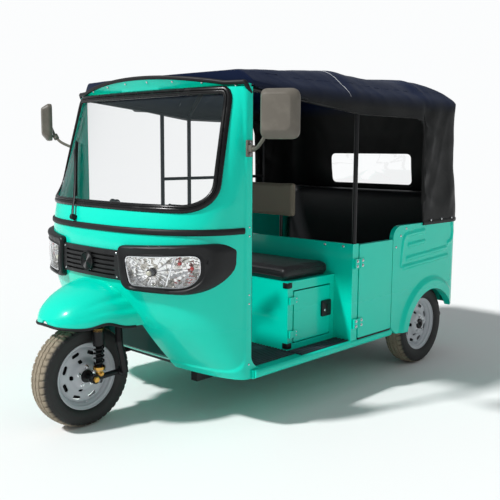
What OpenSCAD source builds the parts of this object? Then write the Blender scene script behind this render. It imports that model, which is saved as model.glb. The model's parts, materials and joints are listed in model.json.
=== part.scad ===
// Electric passenger tricycle: one steered front wheel, a driver's cab behind a
// curved shell, a passenger bench over the rear axle and a canvas roof on tube bows.
// Millimetres. +X is the vehicle's left, it faces -Y, and +Z is up from the ground.

/* [Wheels] */
// Front axle's place along the vehicle
front_axle_y = -1084.5; // [-1100:0.5:-1070]
// Distance from the front axle to the rear axle
wheelbase = 2025; // [2000:5:2060]
// Distance between the middles of the rear tyres
rear_track = 1095; // [1080:1:1100]
// Outer radius of every tyre
tyre_r = 241; // [234:1:245]
// Width of every tyre
tyre_w = 124; // [112:1:128]
// Radius of the rim's flange
rim_r = 156; // [148:1:162]
// Number of slots in each wheel disc
slot_count = 8; // [6:1:10]
// Radius of the wheel spindles
spindle_r = 10; // [8:0.5:12]

/* [Steering] */
// Lean of the steering axis from vertical, in degrees
steer_lean = 18; // [16:0.5:20]
// Where the steering axis meets the ground, ahead of the front axle
steer_foot = 50; // [40:1:60]
// Half the distance between the fork legs
fork_half = 112; // [108:1:118]
// Distance from the link pivot to the front axle
link_l = 150; // [145:1:160]
// Radius of the spring's wire
spring_wire_r = 4; // [3:0.5:5]

/* [Front shell] */
// Half the width of the front shell
shell_half = 625; // [615:1:630]
// Distance from the front axle back to the shell's rear edge, where the doorway starts
pillar_back = 484; // [470:1:495]
// Thickness of the shell
shell_t = 16; // [12:1:20]
// Top edge of the shell
shell_top_z = 1556; // [1550:1:1562]
// Half the width of the wheel opening in the shell
arch_half = 246; // [240:1:256]
// Distance from the shell's side in to the windscreen's corner at its foot
screen_margin = 50; // [40:1:65]

/* [Body] */
// Half the width over the rear body
side_half = 655; // [650:1:660]
// Underside of the sills and of the shell
sill_z = 250; // [244:1:256]
// Top of the floor
floor_z = 290; // [284:1:296]
// Distance from the front axle back to the partition behind the driver
partition_back = 1228; // [1215:1:1240]
// Top edge of the partition and of the side door
door_top_z = 803; // [790:1:815]
// Top edge of the rear quarters
quarter_top_z = 870; // [850:1:885]
// Thickness of the door and of the rear body walls
side_t = 28; // [22:1:30]
// Distance from the rear axle forward to the quarter's front edge
quarter_ahead = 420; // [400:1:440]
// Distance from the rear axle back to the rear wall
quarter_behind = 345; // [335:1:360]
// Radius of the rear wheel arch
rear_arch_r = 268; // [262:1:276]

/* [Seats] */
// Half the width of the driver's seat box
seat_box_half = 535; // [500:1:545]
// Length of the driver's seat box
seat_box_l = 378; // [360:1:390]
// Top of the driver's seat box
seat_box_z = 635; // [620:1:650]
// Thickness of the driver's cushion
cushion_t = 70; // [55:1:80]
// Top of the passenger seat board
bench_z = 560; // [545:1:575]
// Thickness of the passenger cushion
bench_cushion_t = 105; // [90:1:115]

/* [Canopy] */
// Half the width over the canopy
canopy_half = 657; // [654:1:662]
// Thickness of the canopy cloth with its lining
canopy_t = 6; // [4:0.5:9]
// Height of the canopy over the middle bow
bow_top_z = 1712; // [1690:1:1730]
// Lower edge of the canopy's side valance
valance_z = 1468; // [1455:1:1480]
// Radius of the bow tubes
bow_r = 12; // [10:0.5:14]

/* [Chassis] */
// Half the distance between the middles of the chassis rails
rail_half = 330; // [320:1:340]
// Width of a chassis rail
rail_w = 40; // [30:1:50]
// Height of a chassis rail
rail_h = 60; // [50:1:64]

/* [Hidden] */
$fn = 48;
// Gap between pieces that seat on each other
seat = 0.3;
// Gap round what moves
run = 8;
rear_axle_y = front_axle_y + wheelbase;
quarter_y0 = rear_axle_y - quarter_ahead;
rear_y = rear_axle_y + quarter_behind;
front_y = front_axle_y + 70;
pillar_y = front_axle_y + pillar_back;
partition_y = front_axle_y + partition_back;
// Elbows of the bent tubes stand this far proud of the tubes
elbow = 0.4;
post_x = canopy_half - canopy_t - seat - bow_r - elbow;
mid_bow_y = partition_y + 26;
rear_bow_y = rear_axle_y - 75;
curtain_y = rear_axle_y - 130;
canopy_rear_y = rear_y - 6;
wall_in = side_half - side_t;

teal = [0.04, 0.72, 0.62];
black = [0.06, 0.06, 0.07];
steel = [0.62, 0.64, 0.66];

// Points of an arc round c
function arc(c, r, a0, a1, n = 8) =
    [for (i = [0:n]) c + r * [cos(a0 + (a1 - a0) * i / n), sin(a0 + (a1 - a0) * i / n)]];
function unit(v) = v / norm(v);
function fillet(p, q, s, r, n = 6) =
    let (a = unit(p - q), b = unit(s - q), half = acos(a * b) / 2,
         c = q + unit(a + b) * r / sin(half), start = q + a * r / tan(half) - c,
         end = q + b * r / tan(half) - c, from = atan2(start.y, start.x),
         turn = (atan2(end.y, end.x) - from + 900) % 360 - 180)
    arc(c, r, from, from + turn, n);
// Outline whose corners are given as x, y and corner radius
function rounded(corners) =
    let (n = len(corners), xy = [for (c = corners) [c.x, c.y]])
    [for (i = [0:n - 1]) each corners[i].z > 0
        ? fillet(xy[(i + n - 1) % n], xy[i], xy[(i + 1) % n], corners[i].z) : [xy[i]]];
function box_outline(x0, x1, y0, y1, r) = rounded([[x0, y0, r], [x1, y0, r], [x1, y1, r], [x0, y1, r]]);

// An outline in Y and Z, as thick as x0 to x1
module side_plate(x0, x1) translate([x0, 0, 0]) rotate([90, 0, 90]) linear_extrude(x1 - x0) children();
// An outline in X and Z, as thick as y0 to y1
module face_plate(y0, y1) translate([0, y1, 0]) rotate([90, 0, 0]) linear_extrude(y1 - y0) children();
module both_sides() { children(); mirror([1, 0, 0]) children(); }
module block(low, high) translate(low) cube(high - low);
// A round bar from p to q
module bar(p, q, r) {
    d = q - p;
    translate(p) rotate([0, acos(d.z / norm(d)), atan2(d.y, d.x)]) cylinder(r = r, h = norm(d));
}
// Round bars through a list of points, with elbows a little fuller than the bars
module bent_bar(points, r, proud = elbow) {
    for (i = [0:len(points) - 2]) bar(points[i], points[i + 1], r);
    for (i = [1:1:len(points) - 2]) translate(points[i]) sphere(r + proud);
}
module along_x(x0, x1, y, z, r) translate([x0, y, z]) rotate([0, 90, 0]) cylinder(r = r, h = x1 - x0);

// A closed sheet between two grids of points with the same number of columns
module grid_solid(outer, inner, cols) {
    n = len(outer);
    rows = n / cols;
    function quad(a, b, c, d) = [[a, b, c], [a, c, d]];
    faces = [
        for (i = [0:rows - 2]) for (j = [0:cols - 2])
            let (a = i * cols + j, b = a + 1, c = b + cols, d = a + cols)
            each concat(quad(a, d, c, b), quad(n + a, n + b, n + c, n + d)),
        for (j = [0:cols - 2]) let (k = n - cols + j)
            each concat(quad(j, j + 1, n + j + 1, n + j), quad(k + 1, k, n + k, n + k + 1)),
        for (i = [0:rows - 2]) let (a = i * cols, b = a + cols - 1)
            each concat(quad(a + cols, a, n + a, n + a + cols), quad(b, b + cols, n + b + cols, n + b))
    ];
    polyhedron(concat(outer, inner), faces, convexity = 6);
}

// Front shell: sections from the apron's foot to the header
SEC_Z = 0;      // height
SEC_Y = 1;      // the nose on the centre line, measured from front_y
SEC_SQUARE = 2; // squareness of the section's plan, 2 is an ellipse
SHELL = [
    [sill_z, 300, 2.6],
    [350, 200, 2.5],
    [500, 80, 2.5],
    [600, 32, 2.5],
    [690, 2, 2.5],
    [780, -6, 2.5],
    [930, 5, 2.5],
    [1000, 30, 2.6],
    [1045, 56, 2.7],
    [1300, 177, 2.5],
    [shell_top_z, 292, 2.2]
];
function section_slope(i, c) =
    let (a = SHELL[max(i - 1, 0)], b = SHELL[min(i + 1, len(SHELL) - 1)])
    (b[c] - a[c]) / (b[SEC_Z] - a[SEC_Z]);
// A column of the table at height z, on a smooth curve through its rows
function section(z, c) =
    let (i = max([for (k = [0:len(SHELL) - 2]) if (k == 0 || SHELL[k][SEC_Z] <= z) k]),
         a = SHELL[i], b = SHELL[i + 1], h = b[SEC_Z] - a[SEC_Z], t = (z - a[SEC_Z]) / h)
    a[c] * (1 + 2 * t) * pow(1 - t, 2) + section_slope(i, c) * h * t * pow(1 - t, 2)
    + b[c] * t * t * (3 - 2 * t) + section_slope(i + 1, c) * h * t * t * (t - 1);
// A point of the shell, where u runs from -1 at the right pillar to 1 at the left
function shell_point(u, z, inset) =
    let (e = 2 / section(z, SEC_SQUARE), nose = front_y + section(z, SEC_Y) + inset)
    [sign(u) * (shell_half - inset) * pow(abs(sin(90 * u)), e),
     pillar_y - (pillar_y - nose) * pow(abs(cos(90 * u)), e), z];
// The shell's y at a given x and z
function shell_y(x, z, inset) =
    let (k = section(z, SEC_SQUARE), nose = front_y + section(z, SEC_Y) + inset)
    pillar_y - (pillar_y - nose) * pow(1 - pow(abs(x) / (shell_half - inset), k), 1 / k);
function on_shell(x, z, inset) = [x, shell_y(x, z, inset), z];
function steps(a, b, n) = [for (i = [0:n]) a + (b - a) * i / n];
shell_cols = 24;
shell_rows = steps(sill_z, shell_top_z, 30);
row_h = shell_rows[1] - shell_rows[0];
// The shell's rows that cover z0 to z1, and a grid of points on them
function shell_grid(inset, z0, z1) =
    [for (z = shell_rows) if (z > z0 - row_h && z < z1 + row_h)
        for (u = steps(-1, 1, shell_cols)) shell_point(u, z, inset)];
module shell_layer(outside, inside, z0 = sill_z, z1 = shell_top_z)
    grid_solid(shell_grid(outside, z0, z1), shell_grid(inside, z0, z1), shell_cols + 1);
// The space inside the shell's surface, closed past the pillars
module shell_space(inset, z0 = sill_z, z1 = shell_top_z) {
    outer = shell_grid(inset, z0, z1);
    grid_solid(outer, [for (p = outer) [p.x, pillar_y + 20, p.z]], shell_cols + 1);
}

// Windscreen opening in X and Z, grown by g
screen_z0 = 1040;
screen_z1 = 1546;
screen_half = shell_half - screen_margin;
screen_top_half = screen_half - 30;
module screen_outline(g)
    polygon(rounded([[-screen_half - g, screen_z0 - g, 95 + g], [screen_half + g, screen_z0 - g, 95 + g],
        [screen_top_half + g, screen_z1 + g, 60 + g], [-screen_top_half - g, screen_z1 + g, 60 + g]]));

// Steering axis
function steer_y(z) = front_axle_y - steer_foot + z * tan(steer_lean);
function steer_point(z) = [0, steer_y(z), z];
module on_steering(z) translate(steer_point(z)) rotate([-steer_lean, 0, 0]) children();
head_z0 = 575;
head_z1 = 800;
head_r = 32;
stem_r = 17;

// Wheel housing: its inner side profile
housing_rear_y = front_axle_y + 335;
housing_top_z = 610;
housing_t = 6;
module housing_profile(g)
    polygon(rounded([[front_y - 200, sill_z - 60, 0], [housing_rear_y + g, sill_z - 60, 0],
        [housing_rear_y + g, housing_top_z - 90, 60], [housing_rear_y - 150, housing_top_z + g, 60],
        [front_y - 200, housing_top_z + g, 0]]));

upright_r = 16;
// The uprights' welded elbows stand this far proud
weld_proud = 1.5;
upright_path = [[rail_half, pillar_y - 55, sill_z + seat], [rail_half, pillar_y - 55, 420],
    [rail_half, pillar_y - 85, 680], [head_r - 8, steer_y(690), 690]];
kick_z = 320;
kick_y = quarter_y0 + 60;
module chassis_frame() color(black) difference() {
    union() {
        both_sides() side_plate(rail_half - rail_w / 2, rail_half + rail_w / 2)
            polygon([[pillar_y - 75, sill_z - rail_h], [kick_y, sill_z - rail_h], [kick_y + 90, kick_z],
                [rear_y + 10, kick_z], [rear_y + 10, kick_z + 50], [kick_y + 60, kick_z + 50],
                [kick_y + 30, sill_z], [pillar_y - 75, sill_z]]);
        for (y = [pillar_y + 40, pillar_y + 356, partition_y, kick_y - 40])
            block([-rail_half, y - 20, sill_z - rail_h + 10], [rail_half, y + 20, sill_z - 5]);
        block([-rail_half, rear_y - 40, kick_z + 5], [rail_half, rear_y - 5, kick_z + 45]);
        // Towing eye under the rear crossmember
        side_plate(-8, 8) polygon(rounded([[rear_y - 45, kick_z + 10, 0], [rear_y - 45, 270, 20],
            [rear_y + 5, 270, 20], [rear_y + 5, kick_z + 10, 0]]));
    }
    along_x(-20, 20, rear_y - 20, 295, 13);
}
// Steering head on two uprights that stand on the chassis rails
module steering_head() color(black) difference() {
    union() {
        both_sides() bent_bar(upright_path, upright_r, weld_proud);
        on_steering(head_z0) cylinder(r = head_r, h = (head_z1 - head_z0) / cos(steer_lean));
    }
    on_steering(head_z0 - 20) cylinder(r = stem_r + 0.1, h = 400);
}

riser_y = quarter_y0 + 75;
floor_t = 12;
module floor_pan() color([0.16, 0.17, 0.2]) {
    difference() {
        block([-side_half + 10, pillar_y + seat, sill_z + seat], [side_half - 10, quarter_y0 - 2, floor_z]);
        block([-side_half + 60, pillar_y + 20, sill_z - 1],
            [side_half - 60, quarter_y0 - 40, floor_z - floor_t]);
    }
    both_sides() block([rail_half - rail_w / 2, pillar_y + 10, sill_z + seat],
        [rail_half + rail_w / 2, quarter_y0 - 30, floor_z - floor_t]);
    block([-wall_in + seat, quarter_y0 - 10, floor_z - floor_t], [wall_in - seat, riser_y - seat, floor_z]);
    // Toe board inside the shell, notched for the chassis uprights
    difference() {
        intersection() {
            block([-shell_half, housing_rear_y + housing_t + seat, floor_z - floor_t - 1],
                [shell_half, pillar_y + 10, floor_z - 1]);
            shell_space(shell_t + seat, floor_z - floor_t, floor_z);
        }
        both_sides() bar(upright_path[0], upright_path[1], upright_r + 5);
    }
}

// Raised rim along the doorways: how far it stands out, and its width
rim_t = 8;
rim_w = 38;
rim_cols = 4;
function rim_grid(inset) =
    [for (z = steps(sill_z, shell_top_z, 15)) for (u = steps(0.8, 1, rim_cols)) shell_point(u, z, inset)];
module front_shell() color(teal) difference() {
    union() {
        shell_layer(0, shell_t);
        both_sides() intersection() {
            grid_solid(rim_grid(-rim_t), rim_grid(shell_t / 4), rim_cols + 1);
            block([0, pillar_y - rim_w, 0], [shell_half + 20, pillar_y + 20, shell_top_z + 20]);
        }
    }
    face_plate(front_y - 100, pillar_y - 5) screen_outline(0);
    both_sides() face_plate(front_y - 100, pillar_y - 40) lens_outline(seat);
    // Wheel opening below the mudguard
    face_plate(front_y - 100, pillar_y - 20)
        polygon(rounded([[-arch_half, sill_z - 60, 0], [arch_half, sill_z - 60, 0],
            [arch_half, 520, 120], [90, 640, 60], [-90, 640, 60], [-arch_half, 520, 120]]));
}

module wheel_housing() color(black) difference() {
    intersection() {
        side_plate(-arch_half - housing_t, arch_half + housing_t) housing_profile(housing_t);
        shell_space(shell_t + seat, sill_z, housing_top_z + housing_t);
    }
    side_plate(-arch_half, arch_half) housing_profile(0);
    on_steering(520) cylinder(r = head_r + 8, h = 300);
}

// Mudguard: stations from the tip back to the body
GUARD_Y = 0;    // distance behind the tip
GUARD_HALF = 1; // half width at the lower edge
GUARD_TOP = 2;  // height of the ridge
GUARD_LOW = 3;  // height of the lower edge
GUARD = [
    [0, 22, 531, 512],
    [14, 80, 556, 506],
    [52, 138, 604, 502],
    [105, 178, 642, 500],
    [157, 205, 666, 500],
    [225, 226, 686, 498],
    [290, 240, 700, 496],
    [380, 252, 708, 494]
];
guard_tip_y = front_axle_y - 210;
guard_cols = 14;
function guard_point(s, j, t) =
    let (a = 180 * j / guard_cols, half = s[GUARD_HALF] - t, low = s[GUARD_LOW], h = s[GUARD_TOP] - low - t)
    [-half * sign(cos(a)) * pow(abs(cos(a)), 0.85), guard_tip_y + s[GUARD_Y] + t, low + h * pow(sin(a), 0.8)];
module front_mudguard() color(teal) difference() {
    grid_solid([for (s = GUARD) for (j = [0:guard_cols]) guard_point(s, j, 0)],
        [for (s = GUARD) for (j = [0:guard_cols]) guard_point(s, j, 9)], guard_cols + 1);
    shell_space(-seat, 440, 760);
}

// Header band over the windscreen
header_r = 1800;
header_y = front_axle_y + 348;
header_t = 24;
module header_plan(inset) {
    half = shell_half - 1;
    a = asin(half / header_r);
    c = [0, header_y + header_r];
    polygon(concat(arc(c, header_r - inset, 270 - a, 270 + a, 20),
        [[half, pillar_y + 60], [-half, pillar_y + 60]]));
}
header_top_z = 1612;
header_crown_r = 3300;
header_crown_a = asin(shell_half / header_crown_r);
module roof_header() color(teal) intersection() {
    translate([0, 0, shell_top_z + seat]) linear_extrude(80) difference() {
        header_plan(0);
        header_plan(header_t);
        translate([-1000, pillar_y - 4]) square([2000, 100]);
    }
    face_plate(header_y - 50, pillar_y + 50)
        polygon(concat([[-shell_half, shell_top_z], [shell_half, shell_top_z]],
            arc([0, header_top_z - header_crown_r], header_crown_r,
                90 - header_crown_a, 90 + header_crown_a, 16)));
}

module windscreen_glass() color([0.75, 0.85, 0.9, 0.4]) intersection() {
    shell_layer(4, 9, screen_z0, screen_z1);
    face_plate(front_y - 100, pillar_y - 5) screen_outline(-seat);
}

gasket_w = 30;
module windscreen_gasket() color(black) intersection() {
    shell_layer(-9, -seat, screen_z0 - gasket_w, shell_top_z);
    face_plate(front_y - 100, pillar_y - 30) difference() {
        screen_outline(gasket_w);
        screen_outline(-8);
    }
}

bezel_z0 = 655;
bezel_z1 = 880;
// Outer ends of the left bezel and of the lens in it
bezel_x = shell_half - 17;
lens_x = bezel_x - 103;
module bezel_outline()
    polygon(rounded([[214, 864, 18], [bezel_x - 6, 872, 10], [bezel_x, 842, 12],
        [bezel_x - 128, 664, 70], [236, 668, 24]]));
module lens_outline(g)
    polygon(rounded([[258 - g, 820 + g, 16], [lens_x + g, 834 + g, 24],
        [lens_x - 50 + g, 690 - g, 40], [282 - g, 690 - g, 22]]));
module lamp_bezels() color(black) intersection() {
    shell_layer(-30, -seat, bezel_z0, bezel_z1);
    both_sides() face_plate(front_y - 100, pillar_y - 40) difference() {
        bezel_outline();
        lens_outline(seat);
    }
}
// Lamp bodies that pass through the shell, from the lens back to the bulb holder
lamp_depth = 45;
module headlamps() color([0.85, 0.88, 0.9]) intersection() {
    shell_layer(-22, lamp_depth, bezel_z0, bezel_z1);
    both_sides() face_plate(front_y - 100, pillar_y - 40) lens_outline(0);
}
module grille() color(black) {
    half = 212;
    intersection() {
        shell_layer(-14, -seat, bezel_z0, bezel_z1);
        face_plate(front_y - 100, front_y + 200) difference() {
            polygon(rounded([[-half, 838, 10], [half, 838, 10], [half + 16, 705, 10], [-half - 16, 705, 10]]));
            for (i = [0:4]) translate([-half + 22, 722 + i * 21]) square([2 * half - 44, 9]);
        }
    }
    // Horn behind the bars, its rim standing proud of them
    translate([0, front_y - 8, 772]) rotate([90, 0, 0]) cylinder(r = 42, h = 18);
}
belt_z = 930;
module belt_trim() color(black) intersection() {
    shell_layer(-8, -seat, belt_z, belt_z);
    block([-shell_half - 20, front_y - 100, belt_z - 14], [shell_half + 20, pillar_y - 62, belt_z + 14]);
}

// Wiper arm from its spindle to its tip: x and z of each bend, seen from the front
WIPER = [[-150, 965], [-215, 1075], [-300, 1190], [-420, 1315]];
wiper_out = 16;
module wiper() color(black) {
    path = [for (p = WIPER) on_shell(p.x, p.y, -wiper_out)];
    bent_bar(path, 5);
    bar(on_shell(WIPER[0].x, WIPER[0].y, -2.5), path[0], 11);
    bar(on_shell(-205, 1060, -24), on_shell(-425, 1322, -14), 4.5);
}

mirror_z = 1430;
mirror_x = shell_half + 243;
mirror_y = front_axle_y + 395;
mirror_foot = [pillar_y - 25, 1290];
module side_mirror() color([0.2, 0.21, 0.22]) {
    translate([mirror_x, mirror_y, mirror_z]) rotate([0, 0, 28]) {
        translate([0, 18, 0]) rotate([90, 0, 0])
            linear_extrude(44) polygon(box_outline(-82, 82, -102, 102, 34));
        translate([0, -20, 0]) rotate([90, 0, 0])
            linear_extrude(14) polygon(box_outline(-66, 66, -86, 86, 30));
    }
    bent_bar([[shell_half + 16, mirror_foot.x, mirror_foot.y],
        [shell_half + 70, mirror_foot.x - 20, mirror_foot.y], [mirror_x - 75, mirror_y, mirror_z - 80],
        [mirror_x - 40, mirror_y - 3, mirror_z - 30]], 8);
    // Bracket seated on the shell's rim
    difference() {
        block([shell_half - 30, mirror_foot.x - 18, mirror_foot.y - 36],
            [shell_half + 24, mirror_foot.x + 18, mirror_foot.y + 36]);
        grid_solid(rim_grid(-rim_t - seat), rim_grid(60), rim_cols + 1);
    }
}
module mirror_left() side_mirror();
module mirror_right() mirror([1, 0, 0]) side_mirror();

module dashboard() color(black) difference() {
    intersection() {
        side_plate(-530, 530) translate([front_axle_y, 0]) polygon(rounded([[60, 880, 0], [60, 960, 0],
            [255, 975, 30], [285, 950, 20], [255, 880, 20]]));
        shell_space(shell_t + seat, 880, 975);
    }
    // Notch for the steering stem
    block([-70, steer_y(880) - 45, 0], [70, pillar_y, 1100]);
}

seat_box_y0 = partition_y - seat - seat_box_l;
door_gap = 6;
box_door = [seat_box_y0 + 40, partition_y - 35, floor_z + 30, seat_box_z - 45];
box_hinges = [box_door[2] + 50, box_door[3] - 50];
box_hinge_r = 5;
module seat_box() color(teal) {
    difference() {
        block([-seat_box_half, seat_box_y0, floor_z + seat], [seat_box_half, partition_y - seat, seat_box_z]);
        block([-seat_box_half + 12, seat_box_y0 + 12, floor_z + 12],
            [seat_box_half - 12, partition_y - 12, seat_box_z - 12]);
        side_plate(seat_box_half - 30, seat_box_half + 10)
            translate([box_door[0], box_door[2]])
                square([box_door[1] - box_door[0], box_door[3] - box_door[2]]);
    }
    // Fixed hinge leaves beside the door's barrels
    for (z = box_hinges) block([seat_box_half, box_door[0] - 32, z - 18],
        [seat_box_half + 2 + 2 * box_hinge_r, box_door[0] - box_hinge_r - seat, z + 18]);
}
module seat_box_door() color(teal) {
    side_plate(seat_box_half - 9, seat_box_half + 3)
        polygon(box_outline(box_door[0] + door_gap, box_door[1] - door_gap, box_door[2] + door_gap,
            box_door[3] - door_gap, 8));
    for (z = box_hinges) {
        translate([seat_box_half + 3 + box_hinge_r, box_door[0], z - 20]) cylinder(r = box_hinge_r, h = 40);
        block([seat_box_half + 3, box_door[0], z - 18], [seat_box_half + 7, box_door[0] + 34, z + 18]);
    }
    block([seat_box_half + 3, box_door[1] - 62, 430], [seat_box_half + 13, box_door[1] - 22, 500]);
}
module battery_pack() color([0.2, 0.2, 0.24])
    block([-seat_box_half + 60, seat_box_y0 + 40, floor_z + 12 + seat],
        [seat_box_half - 60, partition_y - 45, 560]);

module driver_cushion() color(black) side_plate(-seat_box_half + 12, seat_box_half - 12)
    polygon(rounded([[seat_box_y0 - 4, seat_box_z + seat, 12], [partition_y - 8, seat_box_z + seat, 12],
        [partition_y - 8, seat_box_z + cushion_t, 30], [seat_box_y0 - 4, seat_box_z + cushion_t, 30]]));
backrest_z = 1015;
module driver_backrest() color(black) face_plate(partition_y - seat - 36, partition_y - seat)
    polygon(box_outline(-276, 276, backrest_z - 96, backrest_z + 96, 34));

post_l = 52;
hinge_r = 7;
door_hinges = [380, 700];
module partition() color(teal) {
    block([-wall_in + 6, partition_y, floor_z + seat], [wall_in - 6, partition_y + 18, door_top_z]);
    both_sides() block([wall_in - 6, partition_y, floor_z + seat],
        [side_half - 4, partition_y + post_l, door_top_z]);
    // Fixed hinge leaves beside the door's barrels
    for (z = door_hinges) block([side_half - 4, partition_y + 12, z - 25],
        [side_half + hinge_r + 2, door_y0 - hinge_r - seat, z + 25]);
}

door_y0 = partition_y + post_l + 5;
door_y1 = quarter_y0 - 6;
door_hinge_x = side_half + hinge_r;
module side_door_left() color(teal) {
    side_plate(wall_in, side_half)
        polygon(box_outline(door_y0, door_y1, floor_z + 6, door_top_z - 6, 10));
    for (z = door_hinges) translate([door_hinge_x, door_y0, z - 25]) {
        cylinder(r = hinge_r, h = 50);
        translate([-hinge_r, 0, 0]) cube([5, 40, 50]);
    }
}
module side_panel_right() color(teal) mirror([1, 0, 0]) side_plate(wall_in, side_half)
    polygon(box_outline(partition_y + post_l + seat, quarter_y0 - seat, floor_z + seat, door_top_z - 3, 4));

// Rear body: one tub with round rear corners, split into quarters and a rear wall
tub_corner_r = 110;
rear_split_x = side_half - tub_corner_r;
module tub_plan(inset) {
    w = side_half - inset;
    y = rear_y - inset;
    r = tub_corner_r - inset;
    polygon(concat([[w, quarter_y0]], arc([w - r, y - r], r, 0, 90),
        arc([r - w, y - r], r, 90, 180), [[-w, quarter_y0]]));
}
module tub_wall(z0, z1, outside, inside) translate([0, 0, z0]) linear_extrude(z1 - z0) difference() {
    tub_plan(outside);
    translate([0, -1]) tub_plan(inside);
}
tub_low_z = 334;
module quarter_profile()
    polygon(rounded([[quarter_y0, floor_z + 6, 0], [quarter_y0 + 60, sill_z + 2, 40],
        [rear_y + 50, sill_z + 2, 0], [rear_y + 50, quarter_top_z, 0], [quarter_y0 + 130, quarter_top_z, 60],
        [quarter_y0 + 50, 800, 60], [quarter_y0, 770, 40]]));
arch_z = tyre_r - 40;
// Beads pressed in the quarters: the bends of each one, behind quarter_y0 and above the ground
BEADS = [
    [[88, 640], [104, 768], [146, 812], [330, 820]],
    [[165, 752], [330, 760]],
    [[150, 676], [590, 700]],
    [[112, 628], [610, 650]]
];
bead_r = 6;
module bead(path) for (i = [0:len(path) - 1]) translate([side_half, quarter_y0 + path[i].x, path[i].y]) {
    rotate([0, 90, 0]) sphere(bead_r + elbow);
    if (i < len(path) - 1) {
        run_to = path[i + 1] - path[i];
        rotate([atan2(-run_to.x, run_to.y), 0, 0]) cylinder(r = bead_r, h = norm(run_to));
    }
}
module quarter() color(teal) difference() {
    union() {
        intersection() {
            tub_wall(sill_z, quarter_top_z, 0, side_t);
            side_plate(rear_split_x, side_half + 1) quarter_profile();
        }
        // Flare round the wheel arch
        intersection() {
            translate([side_half - 8, rear_axle_y, arch_z]) rotate([0, 90, 0]) difference() {
                cylinder(r = rear_arch_r + 62, h = 22);
                translate([0, 0, -1]) cylinder(r = rear_arch_r, h = 30);
            }
            block([side_half - 8, quarter_y0 + 40, tub_low_z], [side_half + 20, rear_y - tub_corner_r, 700]);
        }
        for (path = BEADS) bead(path);
    }
    along_x(wall_in - 10, side_half + 40, rear_axle_y, arch_z, rear_arch_r);
    block([rear_split_x - 1, rear_axle_y, 0], [side_half + 40, rear_y + 10, tub_low_z]);
}
module quarter_left() quarter();
module quarter_right() mirror([1, 0, 0]) quarter();
plate_hole_half = 75;
plate_z = 560;
module rear_panel() color(teal) difference() {
    block([-rear_split_x + seat, rear_y - side_t, tub_low_z], [rear_split_x - seat, rear_y, quarter_top_z]);
    for (s = [-1, 1]) translate([s * plate_hole_half, rear_y + 5, plate_z])
        rotate([90, 0, 0]) cylinder(r = 3.5, h = 50);
    block([-rail_half - 30, rear_y - 60, 0], [rail_half + 30, rear_y + 40, 376]);
}
module tail_lamps() color([0.8, 0.1, 0.08]) both_sides() face_plate(rear_y + seat, rear_y + 20)
    polygon(box_outline(rear_split_x - 150, rear_split_x - 30, 392, 462, 16));
bumper_z = 232;
module rear_bumper() color(black) {
    face_plate(rear_y + 14, rear_y + 40) polygon(box_outline(-520, 520, bumper_z - 22, bumper_z + 22, 20));
    both_sides() side_plate(rail_half - 12, rail_half + 12)
        polygon([[rear_y + 10 + seat, bumper_z - 15], [rear_y + 14, bumper_z - 15],
            [rear_y + 14, 365], [rear_y + 10 + seat, 365]]);
}

module passenger_seat_base() color(teal) {
    y0 = riser_y;
    y1 = rear_y - side_t - seat;
    block([-wall_in + seat, y0, floor_z], [wall_in - seat, y0 + 12, bench_z]);
    block([-wall_in + seat, y0, bench_z - 16], [wall_in - seat, y1 - 90, bench_z]);
    both_sides() block([445, y0, 390], [457, y1 - 90, bench_z]);
}
bench_y0 = quarter_y0 + 60;
bench_y1 = rear_y - 230;
module passenger_cushion() color(black) side_plate(-wall_in + 14, wall_in - 14)
    polygon(rounded([[bench_y0, bench_z + seat, 15], [bench_y1, bench_z + seat, 15],
        [bench_y1, bench_z + bench_cushion_t, 35], [bench_y0, bench_z + bench_cushion_t, 45]]));
module passenger_backrest() color(black) side_plate(-wall_in + 14, wall_in - 14)
    polygon(rounded([[bench_y1 + seat + 2, bench_z + seat, 15], [bench_y1 + 95, bench_z + seat, 15],
        [bench_y1 + 170, 1050, 30], [bench_y1 + 75, 1060, 40]]));

// Canopy bows: a post each side and an arch across
shoulder_x = canopy_half - 152;
bow_eave_z = 1492;
bow_arch_z = bow_top_z - 72;
module bow(y, foot_z) bent_bar([[post_x, y, foot_z], [post_x, y, bow_eave_z], [shoulder_x, y, bow_arch_z],
    [-shoulder_x, y, bow_arch_z], [-post_x, y, bow_eave_z], [-post_x, y, foot_z]], bow_r);
module canopy_frame() color(black) {
    bow(mid_bow_y, door_top_z + seat);
    bow(rear_bow_y, quarter_top_z + seat);
}
rail_z = 1479;
rail_r = bow_r - 2;
rail_front = [shell_half - 12, pillar_y + 14, 1548];
guard_rail_z = 1105;
// The roof rails end inside the middle bow, this far from its middle
rail_end = 4;
// The roof rail's middle at y, on the left for side 1 and on the right for side -1
function rail_point(y, side) =
    let (t = (mid_bow_y - y) / (mid_bow_y - rail_front.y))
    [side * (post_x + (rail_front.x - post_x) * t), y, rail_z + (rail_front.z - rail_z) * t];
// Foot of the post on the right side, which has no doorway, straight below the roof rail
side_post_y = partition_y - 198;
side_post = [rail_point(side_post_y, -1).x, side_post_y, floor_z + seat];
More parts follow.
